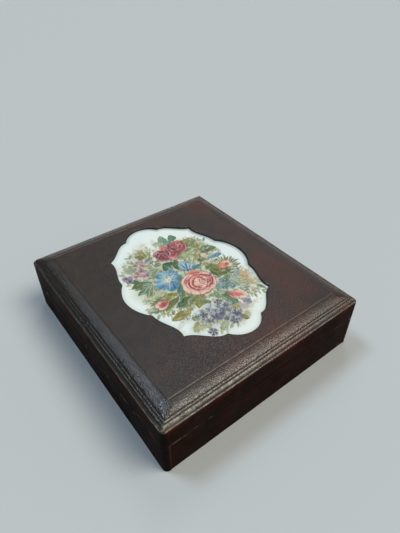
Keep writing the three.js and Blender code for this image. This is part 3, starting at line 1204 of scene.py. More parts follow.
def paint_rose(art, centre, radius, heart, colours, turn=0.0, flat=1.0):
    """A full rose: guard petals, a cup, and a curled heart that sits off the middle."""
    pale, mid, deep, line = colours
    for i in range(7):
        angle = turn + i * 360 / 7
        tip = around(centre, angle, radius, flat)
        start = around(centre, angle, 0.15 * radius, flat)
        art.petal(start, tip, 1.0 * radius, mid, pale, bend=0.1 * radius, line=mid)
        art.wash(around(centre, angle + 20, 0.68 * radius, flat), 0.3 * radius, mid, 0.45)
    cup = ((centre[0] + heart[0]) / 2, (centre[1] + heart[1]) / 2)
    for i in range(5):
        angle = turn + 30 + i * 72
        art.petal(cup, around(cup, angle, 0.7 * radius, flat), 0.8 * radius, deep, mid, line=line)
    art.disc(cup, 0.56 * radius, pale, 0.9, flat=0.9 * flat)
    art.wash(around(cup, turn + 200, 0.2 * radius), 0.34 * radius, mid, 0.35)
    art.arc(cup, 0.58 * radius, turn + 60, turn + 215, 0.11 * radius, line, 0.85, 0.9 * flat)
    art.arc(cup, 0.6 * radius, turn + 235, turn + 395, 0.1 * radius, line, 0.75, 0.9 * flat)
    art.arc(cup, 0.42 * radius, turn + 110, turn + 240, 0.05 * radius, mid, 0.8)
    art.disc(heart, 0.32 * radius, mid, 0.75)
    for share, start, sweep in ((0.34, 20, 200), (0.27, 200, 170), (0.19, 40, 190), (0.1, 220, 200)):
        art.arc(heart, share * radius, turn + start, turn + start + sweep, 0.07 * radius, line, 0.85)
    art.disc(heart, 0.06 * radius, pale)


def paint_creases(art, centre, radius, dark, light, count, seed, flat=1.0):
    """Broken petal edges: short curved strokes, dark beside light, the same every run."""
    draw = np.random.default_rng(seed)
    for _ in range(count):
        reach = radius * math.sqrt(draw.uniform(0.08, 0.9))
        start = draw.uniform(0, 360)
        end = start + draw.uniform(22, 62)
        middle = around(centre, draw.uniform(0, 360), 0.1 * radius)
        cover = draw.uniform(0.45, 0.85)
        art.arc(middle, reach, start, end, 0.085 * radius, dark, cover, flat)
        art.arc(middle, reach - 0.09 * radius, start + 6, end, 0.07 * radius, light, 0.8 * cover, flat)


def paint_violet(art, centre, radius, turn):
    """A dark-hearted floret with pale-edged petals."""
    for i in range(5):
        angle = turn + i * 72
        start, tip = around(centre, angle, 0.1 * radius), around(centre, angle, radius)
        art.petal(start, tip, 0.85 * radius, VIOLET, (122, 128, 150), cover=0.85, line=(186, 190, 200))
        art.line([centre, around(centre, angle + 8, 0.72 * radius)], 0.2 * radius, INK, 0.75)
    art.disc(centre, 0.15 * radius, STRAW, 0.6)


def paint_bud(art, base, tip, width, colours):
    """A half-open bud: overlapping petals folded round a dark slit."""
    pale, mid, line = colours
    base, tip = np.array(base, float), np.array(tip, float)
    length = float(np.hypot(*(tip - base)))
    side = np.array([-(tip - base)[1], (tip - base)[0]]) / length
    art.petal(base, tip + side * 0.22 * width, 0.75 * width, mid, pale, 0.08 * width, line=mid)
    art.petal(base, tip - side * 0.22 * width, 0.75 * width, mid, pale, -0.08 * width, line=mid)
    art.petal(base, base + (tip - base) * 0.86, 0.55 * width, line, mid, line=line)
    slit = base + (tip - base) * 0.34
    art.line([slit + side * 0.06 * width, base + (tip - base) * 0.78], 0.13 * width, line, 0.8)


def paint_spikes(art, centre, inner, outer, start, end, count, colour, width=1.3, cover=0.85):
    """Thin strokes that stand out round a bud, as mossy sepals do."""
    for i in range(count):
        angle = start + (end - start) * i / max(count - 1, 1)
        reach = outer * (1.0 if i % 2 else 0.84)
        points = [around(centre, angle, inner), around(centre, angle + 7, reach)]
        art.line(points, width, colour, cover)


def paint_trumpet(art, centre, radius, turn, flat, tilt):
    """A bindweed flower: a scalloped blue bell with pale rays and a cream throat, seen aslant."""
    chosen, u, v = art.aslant(centre, radius * 1.3, flat, tilt)
    angle = np.arctan2(v, u)
    share = np.hypot(u, v) / radius
    rim = 1 + 0.08 * np.cos(5 * angle + math.radians(turn)) + 0.035 * np.cos(11 * angle)
    inner = np.clip(share / rim, 0, 1)
    streak = soft_noise(angle * 9, share * 2.2, 1.0, 56)
    depth = np.clip(0.5 + 0.5 * np.cos(angle + math.radians(118)) + 0.4 * streak, 0, 1)
    pale = smoothstep(0.62, 0.2, inner + 0.15 * streak) * (0.75 - 0.45 * depth)
    colour = blend(SKY, DEEP_BLUE, depth)
    colour = blend(colour, BLUE, smoothstep(0.35, 0.7, inner) * 0.45)
    art.lay(chosen, smoothstep(1.03, 0.95, share / rim), blend(colour, MIST, pale))
    art.lay(chosen, 0.5 * smoothstep(0.9, 0.97, inner) * smoothstep(1.02, 0.97, share / rim), SKY)

    def ray(direction, inner_share, to_direction, outer_share, width, colour, cover):
        """A line over the bell, its ends given by direction and share of the radius."""
        ends = []
        for way, distance in ((direction, inner_share), (to_direction, outer_share)):
            x, y = around((0, 0), way, distance * radius, flat)
            x, y = turned(x, y, math.radians(tilt))
            ends.append((centre[0] + x, centre[1] + y))
        art.line(ends, width * radius, colour, cover)

    for i in range(5):
        way = turn + i * 72
        ray(way, 0.12, way + 8, 0.94, 0.11, MIST, 0.6)
        ray(way + 30, 0.5, way + 36, 0.97, 0.08, DEEP_BLUE, 0.4)
        for step, reach in ((14, 0.92), (24, 0.72), (44, 0.96), (53, 0.78), (63, 0.9)):
            ray(way + step, 0.3, way + step + 5, reach, 0.05, (190, 214, 222), 0.5)
    art.disc(centre, 0.27 * radius, MIST, 0.8, 0.6, tilt)
    art.disc(centre, 0.24 * radius, CREAM, 0.95, 0.5, tilt)
    ray(185, 0.2, 0, 0.16, 0.07, STRAW, 0.8)


def paint_floret(art, centre, radius, petal_colour, edge_colour, eye, turn):
    for i in range(5):
        angle = turn + i * 72
        start, tip = around(centre, angle, 0.1 * radius), around(centre, angle, radius)
        art.petal(start, tip, 0.95 * radius, edge_colour, petal_colour, cover=0.9)
    art.disc(centre, 0.24 * radius, eye, 0.95)


def paint_cluster(art, centre, spread, count, radius, colours, eye, seed, flat=1.0):
    """Florets scattered over a patch, the same every run."""
    draw = np.random.default_rng(seed)
    for i in range(count):
        angle = i * 137.5
        distance = spread * math.sqrt((i + 0.5) / count)
        place = around(centre, angle + draw.uniform(-12, 12), distance, flat)
        petal_colour, edge_colour = colours[int(draw.integers(len(colours)))]
        size = radius * draw.uniform(0.75, 1.15)
        paint_floret(art, place, size, petal_colour, edge_colour, eye, draw.uniform(0, 72))


def paint_sprig(art, start, end, bend, dark, light, pairs, size, cover=0.9):
    """A thin stem with small leaves in pairs."""
    start, end = np.array(start, float), np.array(end, float)
    side = np.array([-(end - start)[1], (end - start)[0]]) / np.hypot(*(end - start))
    shares = np.linspace(0, 1, 9)
    points = [start + (end - start) * s + side * bend * math.sin(math.pi * s) for s in shares]
    art.line(points, 0.7, dark, cover)
    heading = math.degrees(math.atan2(*(end - start)[::-1]))
    for i in range(pairs):
        place = points[int((i + 1) * 8 / (pairs + 1))]
        for lean in (48, -48):
            tip = around(place, heading + lean, size * (1.1 - 0.4 * i / pairs))
            art.leaf(place, tip, 0.4 * size, dark, light, cover=cover, veined=False)
    tip = around(points[-1], heading, size * 0.8)
    art.leaf(points[-1], tip, 0.35 * size, dark, light, cover=cover, veined=False)


# Patches of small strokes under the bunch: middle, reach across and along, count of strokes
UNDERGROWTH = (
    ((0, 6), 34, 31, 210), ((-34, 24), 16, 27, 130), ((30, 24), 21, 25, 150), ((-20, -28), 27, 12, 130),
    ((28, -32), 22, 19, 130), ((-4, -60), 28, 15, 150), ((12, 46), 24, 13, 60), ((-42, -16), 11, 14, 60),
    ((36, -9), 16, 12, 60), ((-18, 54), 14, 9, 40), ((38, -50), 13, 10, 40),
)
UNDERGROWTH_GREENS = (
    SAGE, SAP, OLIVE, MOSS, (150, 158, 118), (160, 156, 108), TEAL, (140, 136, 110), (168, 172, 142),
)
THREADS = 760


def paint_undergrowth(art):
    """Small leaf strokes and fine lines scattered under the whole bunch, the same every run."""
    draw = np.random.default_rng(72)
    for middle, reach_x, reach_y, count in UNDERGROWTH:
        for _ in range(count):
            distance = math.sqrt(draw.uniform(0, 1))
            turn = draw.uniform(0, 2 * math.pi)
            start_x = middle[0] + reach_x * distance * math.cos(turn)
            start_y = middle[1] + reach_y * distance * math.sin(turn)
            start = (start_x, start_y)
            heading = math.degrees(math.atan2(start_y + 8, start_x)) + draw.uniform(-65, 65)
            tip = around(start, heading, draw.uniform(3.5, 8.5))
            green = UNDERGROWTH_GREENS[int(draw.integers(len(UNDERGROWTH_GREENS)))]
            colour = np.array(green) + draw.uniform(-12, 12)
            cover = draw.uniform(0.35, 0.85)
            if draw.uniform() < 0.62:
                width = draw.uniform(1.6, 3.0)
                art.leaf(start, tip, width, colour, colour + 36, draw.uniform(-1, 1), cover, False)
            else:
                fine = (236, 238, 226) if draw.uniform() < 0.45 else (112, 104, 84)
                art.line([start, tip], draw.uniform(0.7, 1.1), fine, cover)


def paint_threads(art):
    """Fine light and dark strokes over the finished bunch, the same every run."""
    draw = np.random.default_rng(75)
    for _ in range(THREADS):
        turn = draw.uniform(0, 2 * math.pi)
        distance = math.sqrt(draw.uniform(0.02, 1))
        start = (50 * distance * math.cos(turn), -4 + 62 * distance * math.sin(turn))
        heading = math.degrees(turn) + draw.uniform(-80, 80)
        end = around(start, heading, draw.uniform(2.5, 6.5))
        bow = around(halfway(start, end), heading + 90, draw.uniform(-0.8, 0.8))
        tone = (230, 230, 220) if draw.uniform() < 0.55 else (78, 74, 70)
        art.line([start, bow, end], draw.uniform(0.65, 1.0), tone, draw.uniform(0.3, 0.65))


def leaves(art, rows):
    """Leaves from rows of base, tip, width, dark and light colour, then bend, cover and veined if given."""
    for row in rows:
        art.leaf(*row)


def paint_faint_leaves(art):
    """Faint leaves at the back."""
    faint_green, faint_grey = (206, 216, 200), (208, 212, 214)
    for base, tip, width in (
        ((-22, 52), (-18, 70), 6), ((-14, 54), (-6, 72), 7), ((2, 56), (6, 72), 6),
        ((36, 46), (38, 56), 3), ((42, 34), (50, 38), 4), ((38, 17), (54, 11), 5),
        ((30, -56), (46, -55), 5), ((46, -34), (56, -28), 4), ((14, -68), (36, -64), 4),
        ((-34, 44), (-38, 56), 6), ((-36, -46), (-46, -52), 5), ((-46, 38), (-52, 34), 5),
    ):
        art.leaf(base, tip, width, faint_grey, faint_green, cover=0.55, veined=False)
    art.wash((-24, 54), 10, (206, 200, 198), 0.5)
    art.wash((44, -44), 9, (222, 214, 204), 0.6)
    art.wash((2, -76), 6, (216, 196, 184), 0.5)
    art.wash((-30, -47), 12, (200, 206, 204), 0.6, 0.5)
    art.wash((10, -72), 12, (214, 206, 178), 0.45, 0.5)
    art.wash((-10, 66), 10, (212, 208, 196), 0.4)


def paint_soft_greens(art):
    """Soft greens and many small strokes behind the flowers."""
    for centre, radius, colour, cover, flat in (
        ((0, 8), 36, (176, 184, 150), 0.8, 1.15), ((-12, -22), 28, (168, 176, 134), 0.75, 0.7),
        ((-30, 32), 21, (182, 178, 166), 0.75, 1.2), ((28, 24), 25, (176, 184, 150), 0.8, 0.9),
        ((-4, -58), 29, (166, 172, 168), 0.8, 0.72), ((30, -32), 20, (160, 178, 168), 0.75, 0.85),
        ((14, 42), 24, (182, 174, 150), 0.65, 0.8), ((-38, 4), 18, (168, 180, 150), 0.75, 1),
        ((-38, -18), 15, (170, 172, 130), 0.7, 1), ((36, -10), 18, (170, 172, 138), 0.7, 0.85),
        ((37, 36), 12, (150, 148, 112), 0.65, 1.2), ((12, -40), 12, (146, 162, 140), 0.7, 0.9),
        ((41, -46), 13, (188, 190, 172), 0.75, 0.9), ((-30, -60), 9, (166, 170, 146), 0.55, 0.8),
        ((-20, 56), 11, (186, 186, 160), 0.55, 0.9), ((48, -32), 9, (198, 188, 162), 0.6, 1.4),
    ):
        art.wash(centre, radius, colour, cover, flat)


def paint_top_leaves(art):
    """Top leaves."""
    leaves(art, (
        ((8, 54), (16, 72), 9, (96, 140, 122), (170, 190, 168), -2),
        ((13, 55), (23, 58), 5, (92, 138, 124), (140, 172, 158)),
        ((20, 56), (27, 67), 8.5, (78, 126, 112), (120, 158, 140), -1.5),
        ((11, 58), (0, 63), 6, (150, 172, 146), (190, 204, 180), -1),
    ))
    art.line([(12, 50), (14, 60), (15, 66)], 0.7, TEAL, 0.6)


def paint_right_leaves(art):
    """Right-hand leaves."""
    leaves(art, (
        ((29, 42), (39, 49), 9, OLIVE, (184, 170, 118), 2),
        ((28, 37), (44, 44), 6, (122, 128, 84), SAGE, 1),
        ((33, 22), (53, 19), 11, (92, 112, 88), SAGE, 3),
        ((32, 24), (38, 36), 5, OLIVE, (170, 170, 120)),
        ((12, 24), (34, 31), 8, (140, 168, 116), (196, 206, 170), 2),
        ((22, 14), (36, 24), 5, (150, 140, 90), (190, 182, 130), 1),
        ((30, 32), (20, 35), 4, SAP, SAGE),
    ))
    art.line([(20, 12), (30, 24), (40, 36), (44, 46)], 1, OLIVE, 0.8)
    art.line([(24, 20), (34, 31), (38, 40)], 0.8, SAP, 0.7)
    art.leaf((30, 14), (38, 18), 5, (214, 192, 168), (230, 214, 196), 0, 1, False)


def paint_left_side(art):
    """Left-hand leaves and lilac blossom."""
    leaves(art, (
        ((-30, 12), (-50, 12), 8, TEAL, SAGE, -2.6),
        ((-31, 9), (-51, 4), 8, (80, 116, 96), (150, 170, 140), -1.5),
        ((-30, 6), (-46, -3), 8, (98, 124, 92), (170, 182, 146), -1),
    ))
    for tip in ((-50, 13), (-51, 8), (-49, 3), (-45, -2), (-40, -4)):
        bow = (0.5 * (tip[0] - 31) + 1, 0.5 * (tip[1] + 11) + 1.5)
        art.line([(-31, 11), bow, tip], 0.8, (200, 210, 196), 0.75)
    leaves(art, (
        ((-36, 19), (-51, 17), 7, MOSS, (130, 140, 92), 1.5),
        ((-40, 20), (-48, 27), 6, (82, 112, 84), SAP),
        ((-28, 20), (-14, 26), 8, (116, 142, 112), (184, 200, 176), 2.5),
        ((-36, 36), (-45, 42), 6, (136, 156, 130), (186, 200, 172)),
        ((-34, 36), (-36, 48), 5, (144, 150, 148), SAGE),
    ))
    art.wash((-38, -5), 12, (176, 180, 148), 0.65, 0.55)
    art.line([(-36, 18), (-34, 30), (-26, 42), (-22, 50)], 0.8, (120, 106, 96), 0.7)
    lilacs = [
        ((214, 184, 196), MAUVE),
        ((190, 172, 188), (128, 104, 128)),
        ((226, 206, 208), (168, 128, 140)),
    ]
    dusty = [((198, 184, 186), (130, 112, 116)), lilacs[0]]
    paint_cluster(art, (-33, 29), 6.5, 6, 4.6, lilacs, (150, 60, 78), 61)
    paint_cluster(art, (-47, 30), 3.5, 3, 3.8, [(LILAC, (112, 96, 132))], INK, 62)
    paint_cluster(art, (-25, 44), 7, 6, 3.4, dusty, (110, 78, 70), 63)
    leaves(art, (
        ((-16, 48), (-14, 63), 6, OLIVE, (176, 176, 112), 1),
        ((-18, 48), (-24, 57), 5.5, (104, 110, 70), OLIVE),
        ((-14, 46), (-9, 55), 5, (150, 152, 92), (198, 196, 142)),
        ((-9, 45), (-21, 43), 5, (94, 118, 108), (150, 168, 158)),
        ((-8, 33), (-17, 30), 5, (110, 116, 84), SAGE),
        ((-12, 40), (-18, 37), 4, (104, 134, 140), (160, 182, 182)),
    ))


def paint_middle_greens(art):
    """Middle greens."""
    leaves(art, (
        ((2, 27), (-12, 19), 9, (46, 88, 70), (84, 124, 92), -2),
        ((6, 28), (1, 9), 7, MOSS, (126, 136, 76), -1.2),
    ))
    art.line([(7, 29), (5, 18), (3, 8), (-1, -2)], 1.3, (132, 128, 72), 0.9)
    leaves(art, (
        ((-6, -4), (-22, -23), 7, (74, 118, 104), (120, 148, 116), -1.5),
        ((-14, -24), (-32, -29), 8, (58, 92, 64), (108, 134, 86), 1.5),
        ((-12, -26), (-28, -34), 5, SAP, SAGE, 1),
    ))
    art.line([(-10, -8), (-16, -20), (-24, -30), (-34, -36)], 1.1, (108, 122, 76), 0.85)
    leaves(art, (
        ((-26, -36), (-45, -40), 8, (132, 124, 66), (172, 162, 96), 1.5),
        ((-22, -37), (-36, -45), 5, (144, 138, 78), (190, 180, 122)),
        ((-2, -30), (-17, -42), 10, (118, 118, 62), (168, 164, 104), -2),
        ((-4, -28), (-20, -33), 7, (112, 126, 74), (164, 172, 118), 1.5),
        ((-8, -36), (-3, -43), 5, SAP, (140, 150, 96)),
        ((-27, -46), (-28, -53), 4, SAP, (160, 170, 120)),
    ))


def paint_left_bud(art):
    """Left bud in its mossy sepals."""
    paint_spikes(art, (-38, -18), 5, 13.5, 120, 245, 9, (96, 120, 84), 1.5)
    leaves(art, (
        ((-20, -14), (-36, -9), 7, (120, 122, 52), (168, 166, 90), 2),
        ((-22, -19), (-42, -28), 6, (84, 112, 74), (130, 142, 96), -1),
        ((-30, -12), (-48, -13), 5, (96, 116, 72), (150, 152, 104)),
    ))
    art.wash((-37, -19), 10, (128, 112, 70), 0.55, 0.8)
    paint_bud(art, (-31, -17), (-46, -20), 9.5, (BLUSH, ROSE, CRIMSON))
    art.wash((-39, -19), 4.5, (168, 66, 72), 0.7, 0.8)
    paint_creases(art, (-39, -19), 5.5, (132, 46, 58), (232, 190, 176), 7, 76, 0.8)
    paint_spikes(art, (-30, -16), 1, 9, 105, 250, 6, (128, 106, 60), 1.2)


def paint_violets(art):
    """Violets and their leaves at the foot."""
    leaves(art, (
        ((-24, -56), (-37, -62), 7, (150, 158, 116), (198, 202, 164)),
        ((-20, -64), (-32, -60), 5, (158, 168, 130), (206, 210, 180)),
        ((-6, -68), (-16, -74), 6, (150, 162, 132), (198, 206, 176)),
    ))
    greys = [
        ((178, 186, 194), (120, 126, 148)),
        ((138, 142, 162), (82, 86, 116)),
        ((196, 204, 206), (130, 142, 158)),
    ]
    paint_cluster(art, (-14, -53), 11.5, 11, 4.3, greys, (84, 84, 118), 64, 0.8)
    paint_cluster(art, (2, -58), 10.5, 10, 4.2, greys, (84, 84, 118), 65, 1.1)
    paint_cluster(art, (3, -70), 6.5, 6, 3.8, greys, (76, 76, 110), 66, 0.7)
    for place, radius in (
        ((-18, -51), 3.6), ((-11, -57), 4), ((-17, -60), 3), ((7, -66), 4.2), ((2, -46), 3.6),
        ((5, -53), 3), ((-5, -66), 2.8), ((-24, -71), 4.2), ((-1, -72), 3.4),
    ):
        paint_violet(art, place, 1.12 * radius, 20 * radius)
    paint_cluster(art, (-5, -47), 3, 2, 4.4, [(MIST, (176, 186, 196))], (150, 150, 160), 67)
    paint_floret(art, (24, -61), 4.6, (156, 150, 176), (112, 108, 142), (120, 114, 130), 15)
    paint_floret(art, (17, -64), 4.2, (192, 188, 206), LILAC, STRAW, 40)
    leaves(art, (
        ((8, -58), (15, -62), 4.5, (150, 138, 66), (196, 184, 110)),
        ((7, -73), (12, -78), 4.5, (120, 118, 58), (170, 162, 92)),
        ((-22, -50), (-30, -48), 4, SAP, SAGE),
    ))


def paint_blue_green_side(art):
    """Blue-green blossom at the right."""
    blues = [((128, 164, 172), SLATE), ((104, 148, 150), (66, 104, 118)), ((156, 182, 190), (96, 128, 146))]
    art.wash((24, -31), 12, (118, 152, 150), 0.7, 0.75)
    paint_cluster(art, (24, -30), 9, 11, 3.5, blues, (214, 206, 160), 68, 0.8)
    paint_cluster(art, (37, -32), 6.5, 6, 3.2, [((160, 186, 190), SLATE), ((178, 194, 186), SAGE)], STRAW, 69)
    leaves(art, (
        ((40, -40), (47, -32), 4.5, (168, 142, 78), (206, 184, 128)),
        ((44, -34), (53, -27), 3, (196, 160, 128), (222, 196, 170)),
        ((42, -27), (47, -21), 3, (120, 132, 158), (176, 184, 200), 0, 1, False),
        ((34, -44), (38, -48), 4, (130, 156, 160), (186, 200, 196)),
    ))
    tan, pale_tan = (196, 166, 130), (222, 200, 172)
    paint_sprig(art, (38, -37), (57, -27), 1.5, tan, pale_tan, 4, 5, 0.9)
    paint_sprig(art, (36, -42), (54, -42), -1.5, tan, pale_tan, 4, 5, 0.75)
    for start, tip in (
        ((42, -30), (54, -22)), ((44, -36), (56, -34)), ((40, -46), (52, -50)), ((46, -26), (50, -18)),
    ):
        art.line([start, around(halfway(start, tip), 90, 1.2), tip], 1.1, (178, 150, 112), 0.7)
    paint_sprig(art, (30, -54), (46, -56), 1, (150, 150, 130), (196, 196, 176), 4, 5, 0.75)
    paint_sprig(art, (12, -70), (34, -66), 1, pale_tan, (226, 214, 188), 4, 5, 0.6)
    art.leaf((26, -25), (34, -22), 4, (120, 128, 96), SAGE)


def paint_lower_bud(art):
    """Lower right bud."""
    leaves(art, (
        ((16, -58), (8, -38), 9, (70, 120, 92), (134, 168, 136), -2),
        ((9, -44), (9, -33), 7, (96, 126, 88), (150, 172, 140), 1),
    ))
    paint_bud(art, (14, -42), (29, -54), 11.5, (BLUSH, ROSE, CORAL))
    paint_creases(art, (23, -49), 6, (176, 88, 88), (236, 198, 184), 7, 78)
    art.line([(14, -44), (21, -48), (27, -53)], 1.8, CORAL, 0.7)
    paint_spikes(art, (13, -41), 1, 9, -75, 10, 5, (96, 122, 74), 1.2)


def paint_right_bud(art):
    """Right bud with a mossy cup."""
    paint_spikes(art, (40, -9), 9, 16.5, -80, 85, 13, (92, 106, 72), 1.5)
    leaves(art, (
        ((22, -2), (34, -4), 8, (84, 106, 58), (134, 146, 88), 1),
        ((24, -4), (40, -19), 12, (74, 102, 58), (138, 146, 92), -3),
    ))
    art.disc((33, -9), 8.5, (132, 136, 80), 0.9)
    art.wash((40, -9), 12, (136, 120, 76), 0.6, 0.8)
    paint_bud(art, (34, -8), (48, -10), 10, (BLUSH, (230, 164, 146), CORAL))
    art.wash((37, -7), 4.5, (226, 140, 116), 0.7)
    art.disc((43.5, -9.5), 2.2, (176, 76, 78), 0.8)
    art.line([(24, -1), (28, -6), (30, -13)], 1.4, (96, 112, 62), 0.7)
    paint_spikes(art, (38, -9), 3, 11, -95, -55, 4, (86, 100, 62), 1.3)
    paint_creases(art, (43, -9), 5, (166, 76, 76), (238, 196, 180), 7, 77)


def paint_blue_flowers(art):
    """Blue flowers."""
    heart = (7, 4)
    for angle, length, width, deep in (
        (112, 14, 5, DEEP_BLUE), (94, 18, 6.5, DEEP_BLUE), (74, 18, 6, DEEP_BLUE),
        (54, 14, 6, SLATE), (32, 14, 6, SLATE), (10, 15, 6.5, SLATE),
    ):
        art.petal(heart, around(heart, angle, length), width, deep, SKY, line=BLUE)
    for angle, length in ((104, 15), (84, 16), (64, 13), (43, 13), (20, 12)):
        art.line([around(heart, angle, 4), around(heart, angle, length)], 1.3, MIST, 0.85)
    leaves(art, (
        ((8, 4), (24, 6), 4, TEAL, SEA, 1),
        ((22, 10), (35, 9), 4, (88, 104, 74), (140, 150, 110), 1),
    ))
    art.petal((33, 9), (50, 8), 6.5, (100, 150, 196), (70, 118, 166), line=(64, 108, 158))
    art.line([(37, 10), (46, 9)], 1.2, SKY, 0.7)
    paint_trumpet(art, (-16.5, 5.5), 15.5, 40, 0.84, 50)


def paint_red_roses(art):
    """The pair of red roses."""
    right_reds = ((208, 124, 130), (164, 64, 84), (138, 48, 66), (104, 34, 54))
    left_reds = ((186, 116, 128), (132, 52, 76), (100, 36, 58), (92, 32, 52))
    for start, tip, width in (
        ((8, 36), (7, 28), 9), ((12, 40), (14, 33), 8), ((8, 46), (6, 56), 7), ((4, 44), (10, 52), 7),
    ):
        art.petal(start, tip, width, CRIMSON, ROSE, line=CRIMSON)
    paint_rose(art, (20, 44), 11.5, (22, 44), right_reds, 15, 0.92)
    art.wash((23, 46), 4, (236, 160, 152), 0.7)
    art.wash((14, 38), 8, (112, 40, 60), 0.6)
    art.wash((13, 50), 6, (128, 56, 68), 0.5)
    paint_creases(art, (20, 44), 11.5, (112, 42, 58), (234, 184, 178), 26, 79, 0.9)
    paint_rose(art, (1, 41), 10, (0, 41), left_reds, 50)
    paint_creases(art, (0, 41), 10, (76, 26, 46), (218, 164, 168), 22, 80)
    art.petal((10, 40), (4, 31), 8, (160, 64, 84), (220, 146, 146), line=CRIMSON)
    art.petal((13, 38), (9, 29), 6, CRIMSON, (206, 120, 126), line=(132, 44, 66))


def paint_pink_rose(art):
    """The large pink rose in front."""
    pinks = (BLUSH, (228, 158, 150), (212, 112, 114), (166, 60, 78))
    paint_rose(art, (4, -15), 17, (11.5, -15.5), pinks, 24, 0.95)
    art.petal((6, -4), (12, 3), 12, CORAL, ROSE, line=CORAL)
    art.arc((6, -14), 15.5, -60, 70, 1.6, (196, 88, 96), 0.6)
    paint_creases(art, (4, -15), 17, (164, 66, 76), (246, 214, 200), 34, 81, 0.95)
    art.arc((5, -15), 10.5, 120, 262, 1.9, (150, 48, 62), 0.9)
    art.arc((12, -14), 7.2, -80, 150, 1.3, (160, 56, 68), 0.8)
    paint_sprig(art, (-4, -1), (-10, 1), 1, (112, 112, 60), (150, 146, 90), 2, 4)
    paint_sprig(art, (22, 4), (30, 1), 1, (140, 122, 78), (176, 160, 112), 2, 4)


def paint_bouquet(art):
    """A mixed bunch, from the faint leaves behind to the roses in front."""
    for layer in (
        paint_faint_leaves,
        paint_soft_greens,
        paint_undergrowth,
        paint_top_leaves,
        paint_right_leaves,
        paint_left_side,
        paint_middle_greens,
        paint_left_bud,
        paint_violets,
        paint_blue_green_side,
        paint_lower_bud,
        paint_right_bud,
        paint_blue_flowers,
        paint_red_roses,
        paint_pink_rose,
        paint_threads,
    ):
        layer(art)


def age_paint(art):
    """Old paint is duller and warmer than fresh; the bare ground keeps its colour."""
    painted = np.clip(np.abs(art.colour - np.array(IVORY, float)).max(axis=1) / FULL_PAINT, 0, 1)[:, None]
    grey = art.colour.mean(axis=1, keepdims=True)
    aged = (art.colour * (1 - AGE_DULLING) + grey * AGE_DULLING) * AGE_TINT
    art.colour += (aged - art.colour) * painted


def paint_panel(piece, outline):
    """Ground, flowers, and painted shade along the window's edge, most of it at the right and the top."""
    places = places_of(piece)
    plan = places[:, :2]
    art = Painting(plan, IVORY)
    tint = soft_noise(plan[:, 0], plan[:, 1], 30, 57)
    art.colour += np.column_stack([3 * tint, 1.5 * tint, -2 * tint])
    paint_bouquet(art)
    age_paint(art)
    # Painted shade: the card is greyed near the window's edge, where the recess wall would shade it, most
    # toward the right and the top.
    toward = np.clip(0.75 * plan[:, 0] / 67 + 0.6 * plan[:, 1] / 93, 0, 1)
    everywhere, more = EDGE_SHADE
    shade = smoothstep(*EDGE_SHADE_REACH, distance_to(plan, outline)) * (everywhere + more * toward)
    art.colour *= 1 - shade[:, None]
    colours = np.ones((len(places), 4), np.float32)
    colours[:, :3] = linear(np.clip(art.colour, 0, 255) / 255)
    layer = piece.data.attributes.new("paint", "FLOAT_COLOR", "POINT")
    layer.data.foreach_set("color", colours.ravel())


# Floor, light and camera, in metres

CAMERA_PLACE = (-0.1785, -0.2548, 0.3294)
CAMERA_TURN = (50.43, 0.10, -37.54)
CAMERA_LENS = 28.79
SENSOR_WIDTH = 36
NEAREST_SEEN = 0.01
FLOOR_SIZE = 14.0
FLOOR_CELLS = 14
FLOOR_COLOUR = rgb(196, 200, 202)
FLOOR_ROUGHNESS = 0.7
WALL_LIGHT = (0.43, 0.43, 0.42, 1)
DIM_LIGHT = (0.09, 0.088, 0.085, 1)
# Name, direction, width in degrees, strength, colour
SUNS = (
    ("window_light", (-0.24, 0.36, 0.90), 16, 1.0, (0.66, 0.84, 1.0)),
    ("room_light", (0.34, -0.40, 0.85), 34, 1.9, (1.0, 0.965, 0.86)),
    ("wall_glow", (0.40, 0.43, 0.81), 20, 0.26, (0.85, 0.94, 1.0)),
)


def make_floor():
    skin = bpy.data.meshes.new("floor")
    steps = np.linspace(-FLOOR_SIZE / 2, FLOOR_SIZE / 2, FLOOR_CELLS + 1)
    points = [(x, y, 0) for x in steps for y in steps]
    row = FLOOR_CELLS + 1
    corners = [i * row + j for i in range(FLOOR_CELLS) for j in range(FLOOR_CELLS)]
    skin.from_pydata(points, [], [(a, a + row, a + row + 1, a + 1) for a in corners])
    floor = bpy.data.objects.new("floor", skin)
    bpy.context.scene.collection.objects.link(floor)
    made, _, shader = new_surface("pale_floor")
    shader.inputs["Base Color"].default_value = FLOOR_COLOUR
    shader.inputs["Roughness"].default_value = FLOOR_ROUGHNESS
    skin.materials.append(made)


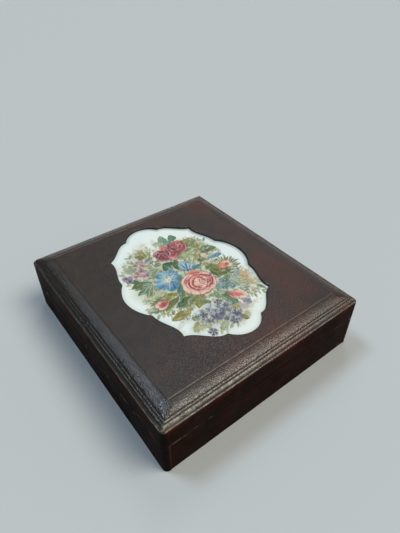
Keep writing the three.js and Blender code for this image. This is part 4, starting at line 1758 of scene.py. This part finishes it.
def add_sun(name, direction, spread, strength, colour):
    """A soft light, the same over the whole floor."""
    light = bpy.data.lights.new(name, "SUN")
    light.angle = math.radians(spread)
    light.energy = strength
    light.color = colour
    holder = bpy.data.objects.new(name, light)
    toward = Vector(direction).normalized()
    holder.location = toward * 2
    holder.rotation_euler = toward.to_track_quat("Z", "Y").to_euler()
    bpy.context.scene.collection.objects.link(holder)


def make_world():
    """Pale walls low down, dim on the left, and a dim ceiling above."""
    world = bpy.data.worlds.new("soft_room")
    world.use_nodes = True
    graph = Graph(world.node_tree)
    background = world.node_tree.nodes["Background"]
    place = graph.node("ShaderNodeTexCoord").outputs["Generated"]
    split = graph.node("ShaderNodeSeparateXYZ")
    graph.join(place, split.inputs[0])
    height = graph.ramp(split.outputs["Z"], 0.38, 0.64)
    side = graph.ramp(split.outputs["X"], -0.35, 0.1)
    colour = graph.mix(height, graph.mix(side, DIM_LIGHT, WALL_LIGHT), DIM_LIGHT)
    graph.join(colour, background.inputs["Color"])
    bpy.context.scene.world = world


def make_camera():
    camera = bpy.data.cameras.new("camera")
    camera.lens = CAMERA_LENS
    camera.sensor_width = SENSOR_WIDTH
    camera.clip_start = NEAREST_SEEN
    holder = bpy.data.objects.new("camera", camera)
    holder.location = CAMERA_PLACE
    holder.rotation_euler = Euler([math.radians(angle) for angle in CAMERA_TURN])
    bpy.context.scene.collection.objects.link(holder)
    bpy.context.scene.camera = holder


outline = window_outline()
top_leather = leather_material("top_leather", TOP_TONES, TOP_FINISH)
# The sides get a darker copy of the top's leather, standing in for shade.
shaded_side_leather = leather_material("shaded_side_leather", SHADED_SIDE_TONES, SIDE_FINISH)
painted = painted_material()
base = make_base()
lid = make_lid(outline)
panel = make_panel(outline)
for piece, node, finishes, slot in (
    (base, "base", [shaded_side_leather], "leather"),
    (lid, "lid", [shaded_side_leather, top_leather], "leather"),
    (panel, "painted_panel", [painted], "painted_card"),
):
    for finish in finishes:
        piece.data.materials.append(finish)
    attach(piece, "root")
    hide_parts(node)
give_top_leather(lid)
mark_leather(base, outline)
mark_leather(lid, outline)
paint_panel(panel, outline)

make_floor()
make_world()
make_camera()
for sun in SUNS:
    add_sun(*sun)
bpy.context.scene.view_settings.view_transform = "Standard"
